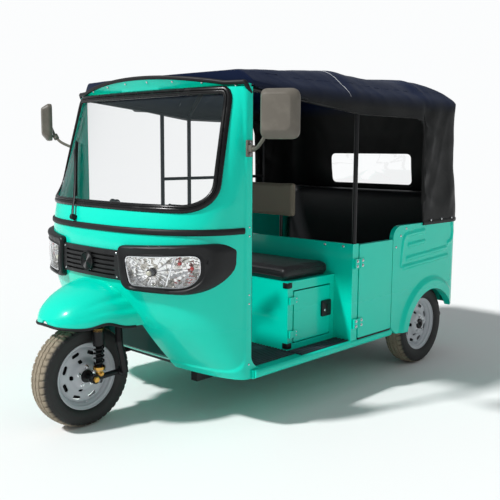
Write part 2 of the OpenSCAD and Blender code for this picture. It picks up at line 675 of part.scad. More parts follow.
// Room for the posts, which the rails' ends are coped to
module post_room() {
    for (x = [-post_x, post_x], y = [mid_bow_y, rear_bow_y])
        translate([x, y, door_top_z]) cylinder(r = bow_r + elbow + seat, h = bow_eave_z + 20 - door_top_z);
    translate([side_post.x, side_post.y, guard_rail_z - 30]) cylinder(r = bow_r + seat, h = 60);
}
module cab_rails() color(black) {
    difference() {
        union() {
            both_sides() bar([post_x, rear_bow_y, rail_z], [post_x, mid_bow_y + rail_end, rail_z], rail_r);
            bent_bar([[post_x, mid_bow_y - rail_end, rail_z], rail_front,
                [-rail_front.x, rail_front.y, rail_front.z], [-post_x, mid_bow_y - rail_end, rail_z]], rail_r);
            bar([-post_x, side_post.y, guard_rail_z], [-post_x, rear_bow_y, guard_rail_z], rail_r);
        }
        post_room();
    }
    difference() {
        bar(side_post, rail_point(side_post.y, -1), bow_r);
        bar(rail_point(side_post.y - 60, -1), rail_point(side_post.y + 60, -1), rail_r + seat);
    }
    // Posts of the driver's backrest
    both_sides() bar([150, partition_y + 9, door_top_z + seat],
        [150, partition_y + 9, backrest_z + 60], bow_r - 3);
}

module canopy_plan(inset) {
    w = canopy_half - inset;
    r = 110 - inset;
    y = canopy_rear_y - inset;
    a = asin(shell_half / header_r);
    front_r = header_r - header_t - seat - inset;
    polygon(concat([[w, pillar_y + 3]], arc([w - r, y - r], r, 0, 90), arc([r - w, y - r], r, 90, 180),
        [[-w, pillar_y + 3]], arc([0, header_y + header_r], front_r, 270 - a, 270 + a, 20)));
}
hem_z = quarter_top_z + seat;
module canopy_side(inset)
    polygon(rounded([[header_y - 150, hem_z - 5, 0], [header_y - 150, 1606 - inset, 0],
        [pillar_y, 1634 - inset, 200], [mid_bow_y, bow_top_z - inset, 120], [500, bow_top_z - 24 - inset, 900],
        [rear_bow_y, bow_top_z + 6 - inset, 120], [canopy_rear_y - 55 - inset, 1630 - inset, 110 - inset],
        [canopy_rear_y - inset, 1400, 300], [canopy_rear_y - inset, hem_z - 5, 0]]));
module canopy_section(inset) {
    w = canopy_half - inset;
    eave = bow_eave_z + 68 - inset;
    shoulder = bow_top_z - 22 - inset;
    polygon(rounded([[w, hem_z, 0], [w, eave, 110], [shoulder_x, shoulder, 220],
        [0, bow_top_z + 23 - inset, 1500], [-shoulder_x, shoulder, 220], [-w, eave, 110], [-w, hem_z, 0]]));
}
module canopy_body(inset) intersection() {
    translate([0, 0, hem_z]) linear_extrude(1000) canopy_plan(inset);
    side_plate(-800, 800) canopy_side(inset);
    face_plate(-1000, canopy_rear_y + 200) canopy_section(inset);
}
module canopy() color([0.05, 0.06, 0.08]) difference() {
    canopy_body(0);
    difference() {
        canopy_body(canopy_t);
        block([-900, -1000, 0], [900, header_y + 60, 1500]);
    }
    // Open sides below the valance
    side_plate(-900, 900) polygon([[-1000, hem_z - 20], [curtain_y, hem_z - 20], [curtain_y, valance_z],
        [mid_bow_y, valance_z], [pillar_y, 1560], [-1000, 1600]]);
    face_plate(canopy_rear_y - 90, canopy_rear_y + 60) polygon(box_outline(-325, 325, 1060, 1270, 40));
}

// Wheels, each made round the X axis at its own centre
module turned(points) rotate([0, 90, 0]) rotate_extrude($fn = 64) polygon(points);
module tyre_shape() color([0.08, 0.08, 0.08]) {
    h = tyre_w / 2;
    bead = rim_r - 8;
    turned(rounded([[bead, -h + 24, 4], [tyre_r - 40, -h, 40], [tyre_r - 9, -h + 12, 10],
        [tyre_r - 2.5, -h / 2, 0], [tyre_r, -6, 0], [tyre_r, 6, 0], [tyre_r - 2.5, h / 2, 0],
        [tyre_r - 9, h - 12, 10], [tyre_r - 40, h, 40], [bead, h - 24, 4], [bead + 6, 0, 0]]));
}
hub_r = 42;
disc_x = 14;
module wheel_shape() color(steel) difference() {
    h = tyre_w / 2 - 14;
    union() {
        bead = rim_r - 8 - seat;
        turned([[bead, -h + 5], [rim_r, -h + 5 - seat], [rim_r, -h], [rim_r - 14, -h], [rim_r - 26, -h + 20],
            [rim_r - 30, 0], [rim_r - 26, h - 20], [rim_r - 14, h], [rim_r, h], [rim_r, h - 5 + seat],
            [bead, h - 5], [bead, h - 12], [rim_r - 20, h - 24], [rim_r - 24, 0], [rim_r - 20, 24 - h],
            [bead, 12 - h]]);
        turned(rounded([[0, disc_x + 16, 0], [0, disc_x + 24, 0], [62, disc_x + 24, 10], [85, disc_x, 12],
            [rim_r - 28, disc_x - 4, 0], [rim_r - 28, disc_x - 9, 0], [82, disc_x - 6, 12],
            [58, disc_x + 16, 10]]));
        along_x(-46, disc_x + 30, 0, 0, hub_r);
    }
    along_x(-60, 60, 0, 0, spindle_r + 0.1);
    for (i = [0:slot_count - 1]) rotate([360 / slot_count * i, 0, 0])
        translate([disc_x - 20, 0, 107]) rotate([0, 90, 0]) linear_extrude(40)
            union() {
                square([20, 16], center = true);
                for (end = [-10, 10]) translate([end, 0]) circle(8);
            }
}
module front_tyre() translate([0, front_axle_y, tyre_r]) tyre_shape();
module front_wheel() translate([0, front_axle_y, tyre_r]) wheel_shape();
module rear_left_tyre() translate([rear_track / 2, rear_axle_y, tyre_r]) tyre_shape();
module rear_left_wheel() translate([rear_track / 2, rear_axle_y, tyre_r]) wheel_shape();
module rear_right_tyre() mirror([1, 0, 0]) rear_left_tyre();
module rear_right_wheel() mirror([1, 0, 0]) rear_left_wheel();

gear_case_r = 104;
module rear_axle() color(black) {
    hub_in = rear_track / 2 - 46 - run;
    along_x(-hub_in, hub_in, rear_axle_y, tyre_r, 32);
    along_x(-rear_track / 2 - disc_x - 30, rear_track / 2 + disc_x + 30, rear_axle_y, tyre_r, spindle_r);
    both_sides() along_x(hub_in - 26, hub_in, rear_axle_y, tyre_r, 82);
    translate([0, rear_axle_y, tyre_r]) rotate([0, 90, 0]) rotate_extrude()
        polygon(rounded([[0, -75, 0], [60, -75, 20], [gear_case_r, -30, 25], [gear_case_r, 30, 25],
            [60, 75, 20], [0, 75, 0]]));
}
motor_r = 76;
module drive_motor() color([0.3, 0.31, 0.33]) {
    y = rear_axle_y - gear_case_r - motor_r - 4;
    difference() {
        union() {
            along_x(-30, 190, y, tyre_r + 10, motor_r);
            block([-30, y, tyre_r - 40], [30, rear_axle_y, tyre_r + 50]);
        }
        along_x(-40, 40, rear_axle_y, tyre_r, gear_case_r + seat);
    }
}
leaf_w = 50;
leaf_t = 7;
leaf_r = 1400;
leaf_z = tyre_r + 32 + seat;
// Leaf pack from the bottom up: half length of each leaf along its curve, in degrees
LEAVES = [5.3, 8.2, 10.9];
function leaf_arc(k, from, to) =
    arc([rear_axle_y, leaf_z + leaf_r], leaf_r - leaf_t * k, 270 + from, 270 + to);
module leaf_springs() color(black) both_sides() {
    side_plate(rail_half - leaf_w / 2, rail_half + leaf_w / 2) polygon(concat(
        leaf_arc(0, -LEAVES[0], LEAVES[0]),
        [for (k = [1, 2]) each leaf_arc(k, LEAVES[k - 1], LEAVES[k])],
        leaf_arc(3, LEAVES[2], -LEAVES[2]),
        [for (k = [2, 1]) each leaf_arc(k, -LEAVES[k], -LEAVES[k - 1])]));
    for (s = [-1, 1]) block([rail_half - 18, rear_axle_y + s * 252 - 10, leaf_z + 30],
        [rail_half + 18, rear_axle_y + s * 252 + 10, kick_z - seat]);
}
module rear_shocks() color(steel) both_sides() {
    top = [rail_half + 55, rear_axle_y + 60, bench_z - 30];
    bar([rail_half + 55, rear_axle_y, tyre_r + 36], top, 12);
    bar([rail_half + 55, rear_axle_y + 20, tyre_r + 120], top, 20);
    along_x(rail_half + 20 + seat, rail_half + 55, rear_axle_y + 22, tyre_r + 110, 9);
}

// Front fork with links behind the wheel, sprung ahead of their pivots
pivot_y = front_axle_y + link_l;
pivot_z = tyre_r + 6;
crown_z = 528;
leg_r = 17;
link_x = fork_half - 12;
link_r = 13;
leg_x = fork_half + 22;
bracket_r = 12;
shock_y = front_axle_y + 30;
shock_z0 = tyre_r + 2 + link_r + seat;
shock_z1 = 500 - bracket_r - seat;
stem_top_z = 955;
module steering_fork() color(black) {
    bar(steer_point(crown_z), steer_point(stem_top_z), stem_r);
    both_sides() {
        bent_bar([[0, steer_y(crown_z), crown_z], [fork_half, steer_y(crown_z) + 10, crown_z - 8],
            [leg_x, pivot_y - 30, 400], [leg_x, pivot_y, pivot_z]], leg_r);
        bar([fork_half, steer_y(crown_z), crown_z - 8], [link_x, shock_y - 8, 500], bracket_r);
    }
    on_steering(crown_z - 6) cylinder(r = 40, h = 38);
}
module link_arms() color([0.72, 0.6, 0.3]) {
    both_sides() {
        bar([link_x, pivot_y, pivot_z], [link_x, front_axle_y, tyre_r], link_r);
        along_x(link_x - 8, link_x + 16, front_axle_y, tyre_r, 22);
        along_x(link_x - 8, leg_x - leg_r - seat, pivot_y, pivot_z, 22);
    }
    along_x(-fork_half - 12, fork_half + 12, front_axle_y, tyre_r, spindle_r);
}
spring_r = 21;
collar_r = 26;
spring_z0 = shock_z0 + 30;
spring_z1 = shock_z1 - 26;
spring_turns = 7;
module front_shocks() color(steel) both_sides() translate([link_x, shock_y, 0]) {
    translate([0, 0, shock_z0]) cylinder(r = 9, h = shock_z1 - shock_z0);
    translate([0, 0, spring_z0 - spring_wire_r - seat - 5]) cylinder(r = collar_r, h = 5);
    translate([0, 0, spring_z1 + spring_wire_r + seat]) cylinder(r = collar_r, h = 5);
}
// A coil round the Z axis: rings of points along a helix
coil_steps = 12;
coil_sides = 6;
module coil(r, wire_r, z0, z1, turns) {
    rings = turns * coil_steps;
    points = [for (i = [0:rings]) for (k = [0:coil_sides - 1])
        let (a = 360 * i / coil_steps, b = 360 * k / coil_sides, d = r + wire_r * cos(b))
        [d * cos(a), d * sin(a), z0 + (z1 - z0) * i / rings + wire_r * sin(b)]];
    last = rings * coil_sides;
    faces = concat(
        [for (i = [0:rings - 1]) for (k = [0:coil_sides - 1])
            let (a = i * coil_sides + k, b = i * coil_sides + (k + 1) % coil_sides)
            each [[a, b, b + coil_sides], [a, b + coil_sides, a + coil_sides]]],
        [[for (k = [coil_sides - 1:-1:0]) k], [for (k = [0:coil_sides - 1]) last + k]]);
    polyhedron(points, faces, convexity = 10);
}
module front_springs() color(black) both_sides() translate([link_x, shock_y, 0])
    coil(spring_r, spring_wire_r, spring_z0, spring_z1, spring_turns);
module handlebar() color(black) {
    c = steer_point(stem_top_z + 30);
    on_steering(stem_top_z + seat) cylinder(r = 24, h = 44);
    both_sides() bent_bar([c, c + [110, 40, 25], c + [190, 95, 30], c + [320, 160, 25]], 11);
}

chassis_frame();
steering_head();
floor_pan();
front_shell();
wheel_housing();
front_mudguard();
roof_header();
windscreen_glass();
windscreen_gasket();
lamp_bezels();
headlamps();
grille();
belt_trim();
wiper();
mirror_left();
mirror_right();
dashboard();
seat_box();
seat_box_door();
battery_pack();
driver_cushion();
driver_backrest();
partition();
passenger_seat_base();
passenger_cushion();
passenger_backrest();
canopy_frame();
cab_rails();
canopy();
side_door_left();
side_panel_right();
quarter_left();
quarter_right();
rear_panel();
tail_lamps();
rear_bumper();
rear_axle();
drive_motor();
leaf_springs();
rear_shocks();
front_tyre();
rear_left_tyre();
rear_right_tyre();
front_wheel();
rear_left_wheel();
rear_right_wheel();
steering_fork();
link_arms();
front_shocks();
front_springs();
handlebar();
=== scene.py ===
# %% [markdown]
# # Dressing an electric passenger tricycle
# The imported model gives every piece its place and its size, in metres: +X is the vehicle's left, it
# faces -Y and stands on z = 0. This lesson keeps that frame fixed and adds what the eye sees: paint,
# rubber, glass, vinyl, tread and small fasteners. It loads the frame first. Nothing that follows may
# make the vehicle larger.

# %% Load the frame
import json
import math
import bpy
import bmesh
import numpy as np
from mathutils import Matrix, Vector

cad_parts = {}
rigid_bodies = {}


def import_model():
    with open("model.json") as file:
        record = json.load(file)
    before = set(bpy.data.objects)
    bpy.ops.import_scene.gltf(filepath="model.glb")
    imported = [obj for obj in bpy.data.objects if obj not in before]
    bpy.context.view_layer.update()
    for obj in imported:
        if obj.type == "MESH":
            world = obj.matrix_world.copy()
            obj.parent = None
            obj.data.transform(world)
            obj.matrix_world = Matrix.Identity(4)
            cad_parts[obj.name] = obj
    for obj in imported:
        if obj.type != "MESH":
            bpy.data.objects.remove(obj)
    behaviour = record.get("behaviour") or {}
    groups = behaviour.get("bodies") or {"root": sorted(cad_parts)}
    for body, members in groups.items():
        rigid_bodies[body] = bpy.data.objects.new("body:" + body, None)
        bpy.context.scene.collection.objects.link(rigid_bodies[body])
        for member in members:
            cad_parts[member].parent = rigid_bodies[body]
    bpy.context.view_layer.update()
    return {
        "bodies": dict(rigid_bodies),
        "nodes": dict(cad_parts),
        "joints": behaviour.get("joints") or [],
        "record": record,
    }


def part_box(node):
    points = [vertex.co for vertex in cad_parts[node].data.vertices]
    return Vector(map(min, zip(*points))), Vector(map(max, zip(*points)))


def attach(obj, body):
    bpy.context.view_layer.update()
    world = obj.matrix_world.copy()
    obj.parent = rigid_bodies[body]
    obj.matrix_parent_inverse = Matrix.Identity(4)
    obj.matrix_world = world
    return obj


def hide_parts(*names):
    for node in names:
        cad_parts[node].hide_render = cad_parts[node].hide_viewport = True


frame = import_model()
nodes = frame["nodes"]

# %% [markdown]
# ## Places that several pieces share
# A place is read from the frame where a node marks it, so a repacked model carries the looks along.

# %% Shared places
front_axle_y = sum(corner.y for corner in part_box("front_tyre")) / 2
rear_axle_y = sum(corner.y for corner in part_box("rear_left_tyre")) / 2
tyre_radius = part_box("front_tyre")[1].z / 2
pillar_y = front_axle_y + 0.484
nose_y = front_axle_y + 0.070
partition_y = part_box("partition")[0].y
rear_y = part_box("rear_panel")[1].y
side_half = 0.655
shell_half = 0.625
print(f"axles at {front_axle_y:.3f} and {rear_axle_y:.3f}, tyre radius {tyre_radius:.3f}")

# %% [markdown]
# ## Camera
# The photograph was taken from the front left, a little below eye height. Its place and focal length
# were worked out from the wheels, the sills and the posts, so the render can be laid over it.

# %% Camera
camera_place = Vector((2.864, front_axle_y - 1.8923, 1.2823))
camera_target = Vector((0.1176, front_axle_y + 1.0178, 0.7421))
camera_roll = math.radians(-0.359)
camera = bpy.data.objects.new("camera", bpy.data.cameras.new("camera"))
camera.data.lens = 53.16
camera.data.sensor_width = 36.0
look = (camera_target - camera_place).to_track_quat("-Z", "Y").to_matrix().to_4x4()
camera.matrix_world = Matrix.Translation(camera_place) @ look @ Matrix.Rotation(-camera_roll, 4, "Z")
bpy.context.scene.collection.objects.link(camera)
bpy.context.scene.camera = camera
bpy.context.scene.view_settings.view_transform = "Standard"
print("camera", tuple(round(c, 3) for c in camera_place))

# %% [markdown]
# ## Finishes as expressions
# A finish is a Principled shader fed by a small graph. Wiring such a graph by hand hides what it
# means, so two small classes write it: a Value wraps a socket and turns arithmetic into Math nodes,
# and a Finish owns the graph and adds any other node in one call.

# %% The two classes
class Value:
    """One socket of a finish. Arithmetic on it adds Math nodes."""

    def __init__(self, finish, socket):
        self.finish = finish
        self.socket = socket

    def __add__(self, other):
        return self.finish.maths("ADD", self, other)

    def __sub__(self, other):
        return self.finish.maths("SUBTRACT", self, other)

    def __rsub__(self, other):
        return self.finish.maths("SUBTRACT", other, self)

    def __mul__(self, other):
        return self.finish.maths("MULTIPLY", self, other)

    def __truediv__(self, other):
        return self.finish.maths("DIVIDE", self, other)

    def __pow__(self, other):
        return self.finish.maths("POWER", self, other)

    __radd__ = __add__
    __rmul__ = __mul__


class Finish:
    """A material whose shader is fed by expressions."""

    def __init__(self, name, **constants):
        self.material = bpy.data.materials.new(name)
        self.material.use_nodes = True
        self.tree = self.material.node_tree
        self.shader = self.tree.nodes["Principled BSDF"]
        self.feed(**constants)

    def node(self, kind, settings, sockets, out=0):
        """Any node: its type, its settings, its sockets' values or links, and the output to use."""
        made = self.tree.nodes.new(kind)
        for key, value in settings.items():
            setattr(made, key, value)
        for key, value in sockets.items():
            self.join(made.inputs[key], value)
        return Value(self, made.outputs[out])

    def join(self, socket, value):
        if isinstance(value, Value):
            self.tree.links.new(value.socket, socket)
        elif hasattr(value, "__len__") and len(value) == 3 and len(socket.default_value) == 4:
            socket.default_value = (*value, 1.0)
        else:
            socket.default_value = value

    def feed(self, **sockets):
        """Feeds the shader: base_color is the socket Base Color."""
        for key, value in sockets.items():
            name = key.replace("_", " ").title().replace("Ior", "IOR")
            self.join(self.shader.inputs[name], value)

    def maths(self, operation, *values):
        return self.node("ShaderNodeMath", {"operation": operation}, dict(enumerate(values)))

    def place(self):
        """Where a point is in the frame, in metres."""
        return self.node("ShaderNodeTexCoord", {}, {}, "Object")

    def axis(self, name):
        return self.node("ShaderNodeSeparateXYZ", {}, {0: self.place()}, name)

    def noise(self, scale, detail=2.0, stretch=(1.0, 1.0, 1.0)):
        """Soft noise from 0 to 1, about scale patches in a metre."""
        spread = self.node("ShaderNodeVectorMath", {"operation": "MULTIPLY"}, {0: self.place(), 1: stretch})
        return self.node("ShaderNodeTexNoise", {}, {"Vector": spread, "Scale": scale, "Detail": detail})

    def grain(self, scale):
        """Small rounded cells, as on leather or moulded plastic."""
        return self.node("ShaderNodeTexVoronoi", {}, {"Vector": self.place(), "Scale": scale})

    def between(self, value, low, high):
        """0 below low, 1 above high and smooth between."""
        return self.node("ShaderNodeMapRange", {"interpolation_type": "SMOOTHSTEP"},
                         {"Value": value, "From Min": low, "From Max": high})

    def mix(self, factor, first, second):
        """A colour between two, by a factor from 0 to 1."""
        return self.node("ShaderNodeMix", {"data_type": "RGBA"}, {0: factor, 6: first, 7: second}, 2)

    def bump(self, height, depth):
        """Relief of that depth in metres on the shader's normal."""
        self.feed(normal=self.node("ShaderNodeBump", {},
                                   {"Strength": 1.0, "Distance": depth, "Height": height}))


def srgb(red, green, blue):
    """A colour as it is seen on a screen, 0 to 255, turned into light."""
    seen = np.array((red, green, blue)) / 255
    return tuple(np.where(seen < 0.04045, seen / 12.92, ((seen + 0.055) / 1.055) ** 2.4))


# %% [markdown]
# ## Paint
# The body is sprayed steel sheet. Fresh paint is never one flat colour: the tone drifts a little from
# panel to panel, the surface has a faint orange peel, and dust dulls the gloss near the ground. A clear
# coat gives the sharp highlights that run along every pressed edge.

# %% Painted finishes
def sprayed(name, color, deep, roughness, coat):
    finish = Finish(name, coat_weight=coat, coat_roughness=0.06, specular_ior_level=0.15)
    drift = finish.noise(2.2)
    dust = (1 - finish.between(finish.axis("Z"), 0.20, 0.55)) * finish.noise(14.0, 4.0)
    finish.feed(base_color=finish.mix(drift * 0.5 + dust * 0.25, color, deep),
                roughness=roughness + dust * 0.35)
    finish.bump(finish.noise(420.0, 1.0), 0.00004)
    return finish.material


teal_paint = sprayed("teal_paint", srgb(0, 216, 188), srgb(0, 202, 178), 0.26, 0.35)
# Painted shade: a darker copy of the teal paint for the wheel housing, standing for the shadow under the
# mudguard.
painted_shade_teal = sprayed("painted_shade_teal", srgb(6, 84, 76), srgb(8, 62, 57), 0.42, 0.1)
black_paint = sprayed("black_paint", srgb(20, 20, 22), srgb(28, 28, 30), 0.38, 0.25)
wheel_paint = sprayed("wheel_paint", srgb(196, 199, 203), srgb(178, 182, 187), 0.30, 0.3)
motor_paint = sprayed("motor_paint", srgb(72, 74, 78), srgb(58, 60, 64), 0.5, 0.1)
print("painted finishes: teal, housing, black, wheel, motor")

# %% [markdown]
# ## Moulded plastic and rubber
# Moulded black parts are grained so that they don't show finger marks. Rubber is darker and softer:
# the screen seal is wiped and shines, tyres are dusty where they meet the road.

# %% Moulded finishes
def moulded(name, color, worn, roughness, cells, depth):
    finish = Finish(name, specular_ior_level=0.28)
    scuff = finish.between(finish.noise(22.0, 5.0), 0.45, 0.75)
    finish.feed(base_color=finish.mix(scuff * 0.6, color, worn), roughness=roughness + scuff * 0.12)
    finish.bump(finish.grain(cells), depth)
    return finish.material


black_plastic = moulded("black_plastic", srgb(20, 21, 22), srgb(32, 33, 35), 0.40, 900.0, 0.00006)
mirror_plastic = moulded("mirror_plastic", srgb(100, 95, 87), srgb(112, 107, 98), 0.42, 800.0, 0.00009)
seal_rubber = moulded("seal_rubber", srgb(16, 16, 17), srgb(26, 25, 24), 0.24, 300.0, 0.00002)
trim_rubber = moulded("trim_rubber", srgb(18, 18, 19), srgb(30, 29, 28), 0.5, 500.0, 0.00004)
battery_plastic = moulded("battery_plastic", srgb(52, 53, 62), srgb(64, 64, 70), 0.5, 400.0, 0.00008)


def tyre_rubber(name, axle_y):
    """Black side walls and a crown that the road has greyed."""
    finish = Finish(name)
    y = finish.axis("Y") - axle_y
    z = finish.axis("Z") - tyre_radius
    radius = finish.maths("SQRT", y * y + z * z)
    worn = finish.between(radius, tyre_radius - 0.016, tyre_radius - 0.004)
    road = worn * (0.6 + 0.4 * finish.noise(30.0, 4.0))
    black = finish.mix(finish.noise(60.0, 3.0), srgb(24, 24, 24), srgb(34, 33, 32))
    finish.feed(base_color=finish.mix(road, black, srgb(152, 140, 120)), roughness=0.62 + 0.25 * road)
    finish.bump(finish.noise(500.0), 0.00008)
    return finish.material


front_tyre_rubber = tyre_rubber("front_tyre_rubber", front_axle_y)
rear_tyre_rubber = tyre_rubber("rear_tyre_rubber", rear_axle_y)
print("moulded finishes and tyres")

# %% [markdown]
# ## Vinyl, mat and metal
# The seats and the roof are black vinyl, coated cloth with a fine leather grain. The roof's has a weave
# that shows through and is brown black on the curtain; on top it is tinted navy, a painted reflection of
# the sky. Bare metal parts are bright zinc, yellow zinc, chrome or plain steel.

# %% Soft and bright finishes
def vinyl(name, color, light, roughness, cells, depth, sheen):
    finish = Finish(name, sheen_weight=sheen, sheen_roughness=0.4, specular_ior_level=0.3)
    cloud = finish.noise(5.0, 4.0)
    finish.feed(base_color=finish.mix(cloud, color, light),
                roughness=roughness + 0.12 * finish.noise(40.0, 3.0))
    finish.bump(finish.grain(cells) + 0.6 * finish.noise(cells * 0.6, 2.0), depth)
    return finish.material


seat_vinyl = vinyl("seat_vinyl", srgb(22, 22, 24), srgb(32, 32, 34), 0.36, 420.0, 0.00016, 0.05)
pad_vinyl = vinyl("pad_vinyl", srgb(112, 104, 90), srgb(124, 116, 101), 0.5, 420.0, 0.00016, 0.05)
thread = vinyl("thread", srgb(150, 152, 156), srgb(170, 172, 174), 0.7, 900.0, 0.00008, 0.1)


def roof_cloth():
    """Coated cloth, brown black on the curtain; the roof is tinted navy, a painted reflection of the sky."""
    finish = Finish("roof_vinyl", specular_ior_level=0.11)
    cloud = finish.noise(5.0, 4.0)
    # Painted reflection: above 1.5 m the cloth turns navy, standing for the sky's reflection on the roof.
    roof = finish.between(finish.axis("Z"), 1.50, 1.60)
    wall = finish.mix(cloud, srgb(24, 25, 26), srgb(34, 34, 33))
    finish.feed(base_color=finish.mix(roof, wall, finish.mix(cloud, srgb(8, 20, 46), srgb(16, 29, 58))),
                roughness=0.34 + 0.12 * finish.noise(40.0, 3.0))
    finish.bump(finish.grain(700.0) + 0.6 * finish.noise(420.0, 2.0), 0.00012)
    return finish.material


roof_vinyl = roof_cloth()


def floor_mat_finish():
    """Ribbed rubber mat, blue black, with dust between the ribs."""
    finish = Finish("floor_mat")
    dust = finish.noise(9.0, 5.0)
    finish.feed(base_color=finish.mix(finish.between(dust, 0.45, 0.8), srgb(26, 30, 42), srgb(66, 72, 84)),
                roughness=0.55 + 0.2 * dust)
    finish.bump(finish.noise(300.0), 0.0002)
    return finish.material


def metal(name, color, roughness, stain):
    finish = Finish(name, metallic=1.0)
    cloud = finish.noise(45.0, 4.0)
    finish.feed(base_color=finish.mix(cloud * stain, color, tuple(c * 0.45 for c in color)),
                roughness=roughness + 0.2 * stain * cloud)
    return finish.material


def facets(name):
    """A lamp's reflector: metal coloured lighter and darker in small panes, a painted reflection of panes
    that catch light and dark by turns.
    """
    finish = Finish(name, metallic=1.0)
    cells = finish.node("ShaderNodeTexVoronoi", {"feature": "F1"}, {"Vector": finish.place(), "Scale": 64.0},
                        "Color")
    share = finish.node("ShaderNodeSeparateColor", {}, {"Color": cells}, "Red")
    # Painted reflection: each pane's colour is made light or dark, as if it mirrored light or shade.
    painted_pane_reflection = finish.between(share, 0.1, 0.6)
    finish.feed(base_color=finish.mix(painted_pane_reflection, srgb(176, 172, 164), srgb(246, 246, 246)),
                roughness=0.08 + 0.10 * share)
    return finish.material


floor_mat = floor_mat_finish()
bright_zinc = metal("bright_zinc", srgb(214, 216, 218), 0.22, 0.3)
yellow_zinc = metal("yellow_zinc", srgb(226, 176, 92), 0.28, 0.5)
reflector_chrome = facets("reflector_chrome")
chrome = metal("chrome", srgb(240, 242, 244), 0.05, 0.1)
bare_steel = metal("bare_steel", srgb(150, 152, 154), 0.36, 0.6)
print("vinyl, mat and metal finishes")

# %% [markdown]
# ## Glass and lenses
# A pane is a mirror that is almost fully see-through: it reflects a few percent face on and much more
# at a glancing angle. A metallic shader whose alpha grows with that angle says just that, and lets
# daylight pass into the cab without dark shadows.

# %% See-through finishes
def pane(name, tint, haze):
    finish = Finish(name, base_color=tint, metallic=1.0)
    glance = finish.node("ShaderNodeLayerWeight", {}, {"Blend": 0.5}, "Facing")
    finish.feed(alpha=haze + 0.7 * glance ** 5, roughness=0.015 + 0.02 * finish.noise(6.0))
    return finish.material


def colored_lens(name, color, roughness):
    finish = Finish(name, transmission_weight=0.35, ior=1.5, coat_weight=0.8)
    ribs = finish.noise(90.0, 1.0)
    finish.feed(base_color=finish.mix(ribs * 0.5, color, tuple(c * 0.5 for c in color)),
                roughness=roughness + 0.08 * ribs)
    return finish.material


screen_glass = pane("screen_glass", (0.62, 0.74, 0.76), 0.06)
lamp_glass = pane("lamp_glass", (0.95, 0.97, 0.98), 0.04)
window_film = pane("window_film", (0.92, 0.94, 0.95), 0.10)
red_lens = colored_lens("red_lens", srgb(214, 16, 18), 0.12)
amber_lens = colored_lens("amber_lens", srgb(236, 120, 16), 0.12)
pale_lens = colored_lens("pale_lens", srgb(232, 230, 210), 0.2)
print("see-through finishes")

# %% [markdown]
# ## Finishes on the carried-over nodes
# A node whose shape is right keeps its mesh and gets a finish. Those that are modelled again below are
# hidden when their new piece says that it stands for them.

# %% Dress the nodes
node_finish = {
    teal_paint: ["front_shell", "front_mudguard", "roof_header", "seat_box", "seat_box_door", "partition",
                 "passenger_seat_base", "side_door_left", "side_panel_right", "quarter_left", "quarter_right",
                 "rear_panel", "floor_pan"],
    # Painted shade: the wheel housing gets the dark teal copy instead of the body's teal.
    painted_shade_teal: ["wheel_housing"],
    black_paint: ["chassis_frame", "steering_head", "rear_axle", "leaf_springs", "steering_fork", "handlebar",
                  "link_arms", "canopy_frame", "cab_rails", "rear_bumper"],
    black_plastic: ["lamp_bezels", "grille", "dashboard", "wiper"],
    mirror_plastic: ["mirror_left", "mirror_right"],
    seal_rubber: ["windscreen_gasket"],
    trim_rubber: ["belt_trim", "front_springs"],
    screen_glass: ["windscreen_glass"],
    lamp_glass: ["headlamps"],
    red_lens: ["tail_lamps"],
    battery_plastic: ["battery_pack"],
    seat_vinyl: ["driver_cushion", "passenger_cushion", "passenger_backrest"],
    pad_vinyl: ["driver_backrest"],
    roof_vinyl: ["canopy"],
    motor_paint: ["drive_motor"],
    bare_steel: ["rear_shocks", "front_shocks"],
    wheel_paint: ["front_wheel", "rear_left_wheel", "rear_right_wheel"],
    front_tyre_rubber: ["front_tyre"],
    rear_tyre_rubber: ["rear_left_tyre", "rear_right_tyre"],
}
for finish, names in node_finish.items():
    for name in names:
        nodes[name].data.materials.clear()
        nodes[name].data.materials.append(finish)
print("dressed", sum(len(names) for names in node_finish.values()), "nodes")

# %% [markdown]
# ## Making meshes
# Most trim on a vehicle is one of four things: a sheet over a grid of points, a profile swept along a
# line, a profile turned round an axis, or a small fastener. Each is a short function that returns
# points and faces, so that pieces can be joined before they become one object.

# %% Sheets, sweeps and turnings
def sheet(rows, wrap=False, caps=False):
    """Faces over a grid of points; wrap closes each row on itself, caps close the first and last row."""
    rows = np.asarray(rows, float)
    count, across = rows.shape[:2]
    reach = across if wrap else across - 1
    faces = [(i * across + j, i * across + (j + 1) % across, (i + 1) * across + (j + 1) % across,
              (i + 1) * across + j)
             for i in range(count - 1) for j in range(reach)]
    if caps:
        faces.append(tuple(range(across))[::-1])
        faces.append(tuple(range((count - 1) * across, count * across)))
    return rows.reshape(-1, 3), faces


def merged(parts):
    points, faces, base = [], [], 0
    for part_points, part_faces in parts:
        points.append(np.asarray(part_points, float))
        faces += [tuple(index + base for index in face) for face in part_faces]
        base += len(part_points)
    return np.vstack(points), faces


def mirrored(shape):
    points, faces = shape
    return np.asarray(points) * (-1, 1, 1), [face[::-1] for face in faces]


def both_sides(shape):
    return merged([shape, mirrored(shape)])


def each_side(make):
    """What a function makes for the right side (-1) and for the left (1), as one shape."""
    return merged([make(side) for side in (-1, 1)])


def unit(vectors):
    vectors = np.asarray(vectors, float)
    return vectors / np.maximum(np.linalg.norm(vectors, axis=-1, keepdims=True), 1e-9)


def along(path, closed=False):
    """Directions along a line of points."""
    path = np.asarray(path, float)
    if closed:
        return unit(np.roll(path, -1, 0) - np.roll(path, 1, 0))
    return unit(np.gradient(path, axis=0))


def sweep(path, outward, profile, closed=False):
    """A profile of (sideways, outward) points carried along a line."""
    path = np.asarray(path, float)
    ahead = along(path, closed)
    out = np.asarray(outward, float) * np.ones_like(path)
    out = unit(out - (out * ahead).sum(1, keepdims=True) * ahead)
    side = np.cross(ahead, out)
    rings = [[p + a * s + b * o for a, b in profile] for p, s, o in zip(path, side, out)]
    if closed:
        rings.append(rings[0])
    return sheet(rings, wrap=True, caps=not closed)


def full_turn(count):
    return np.linspace(0, 2 * math.pi, count, endpoint=False)


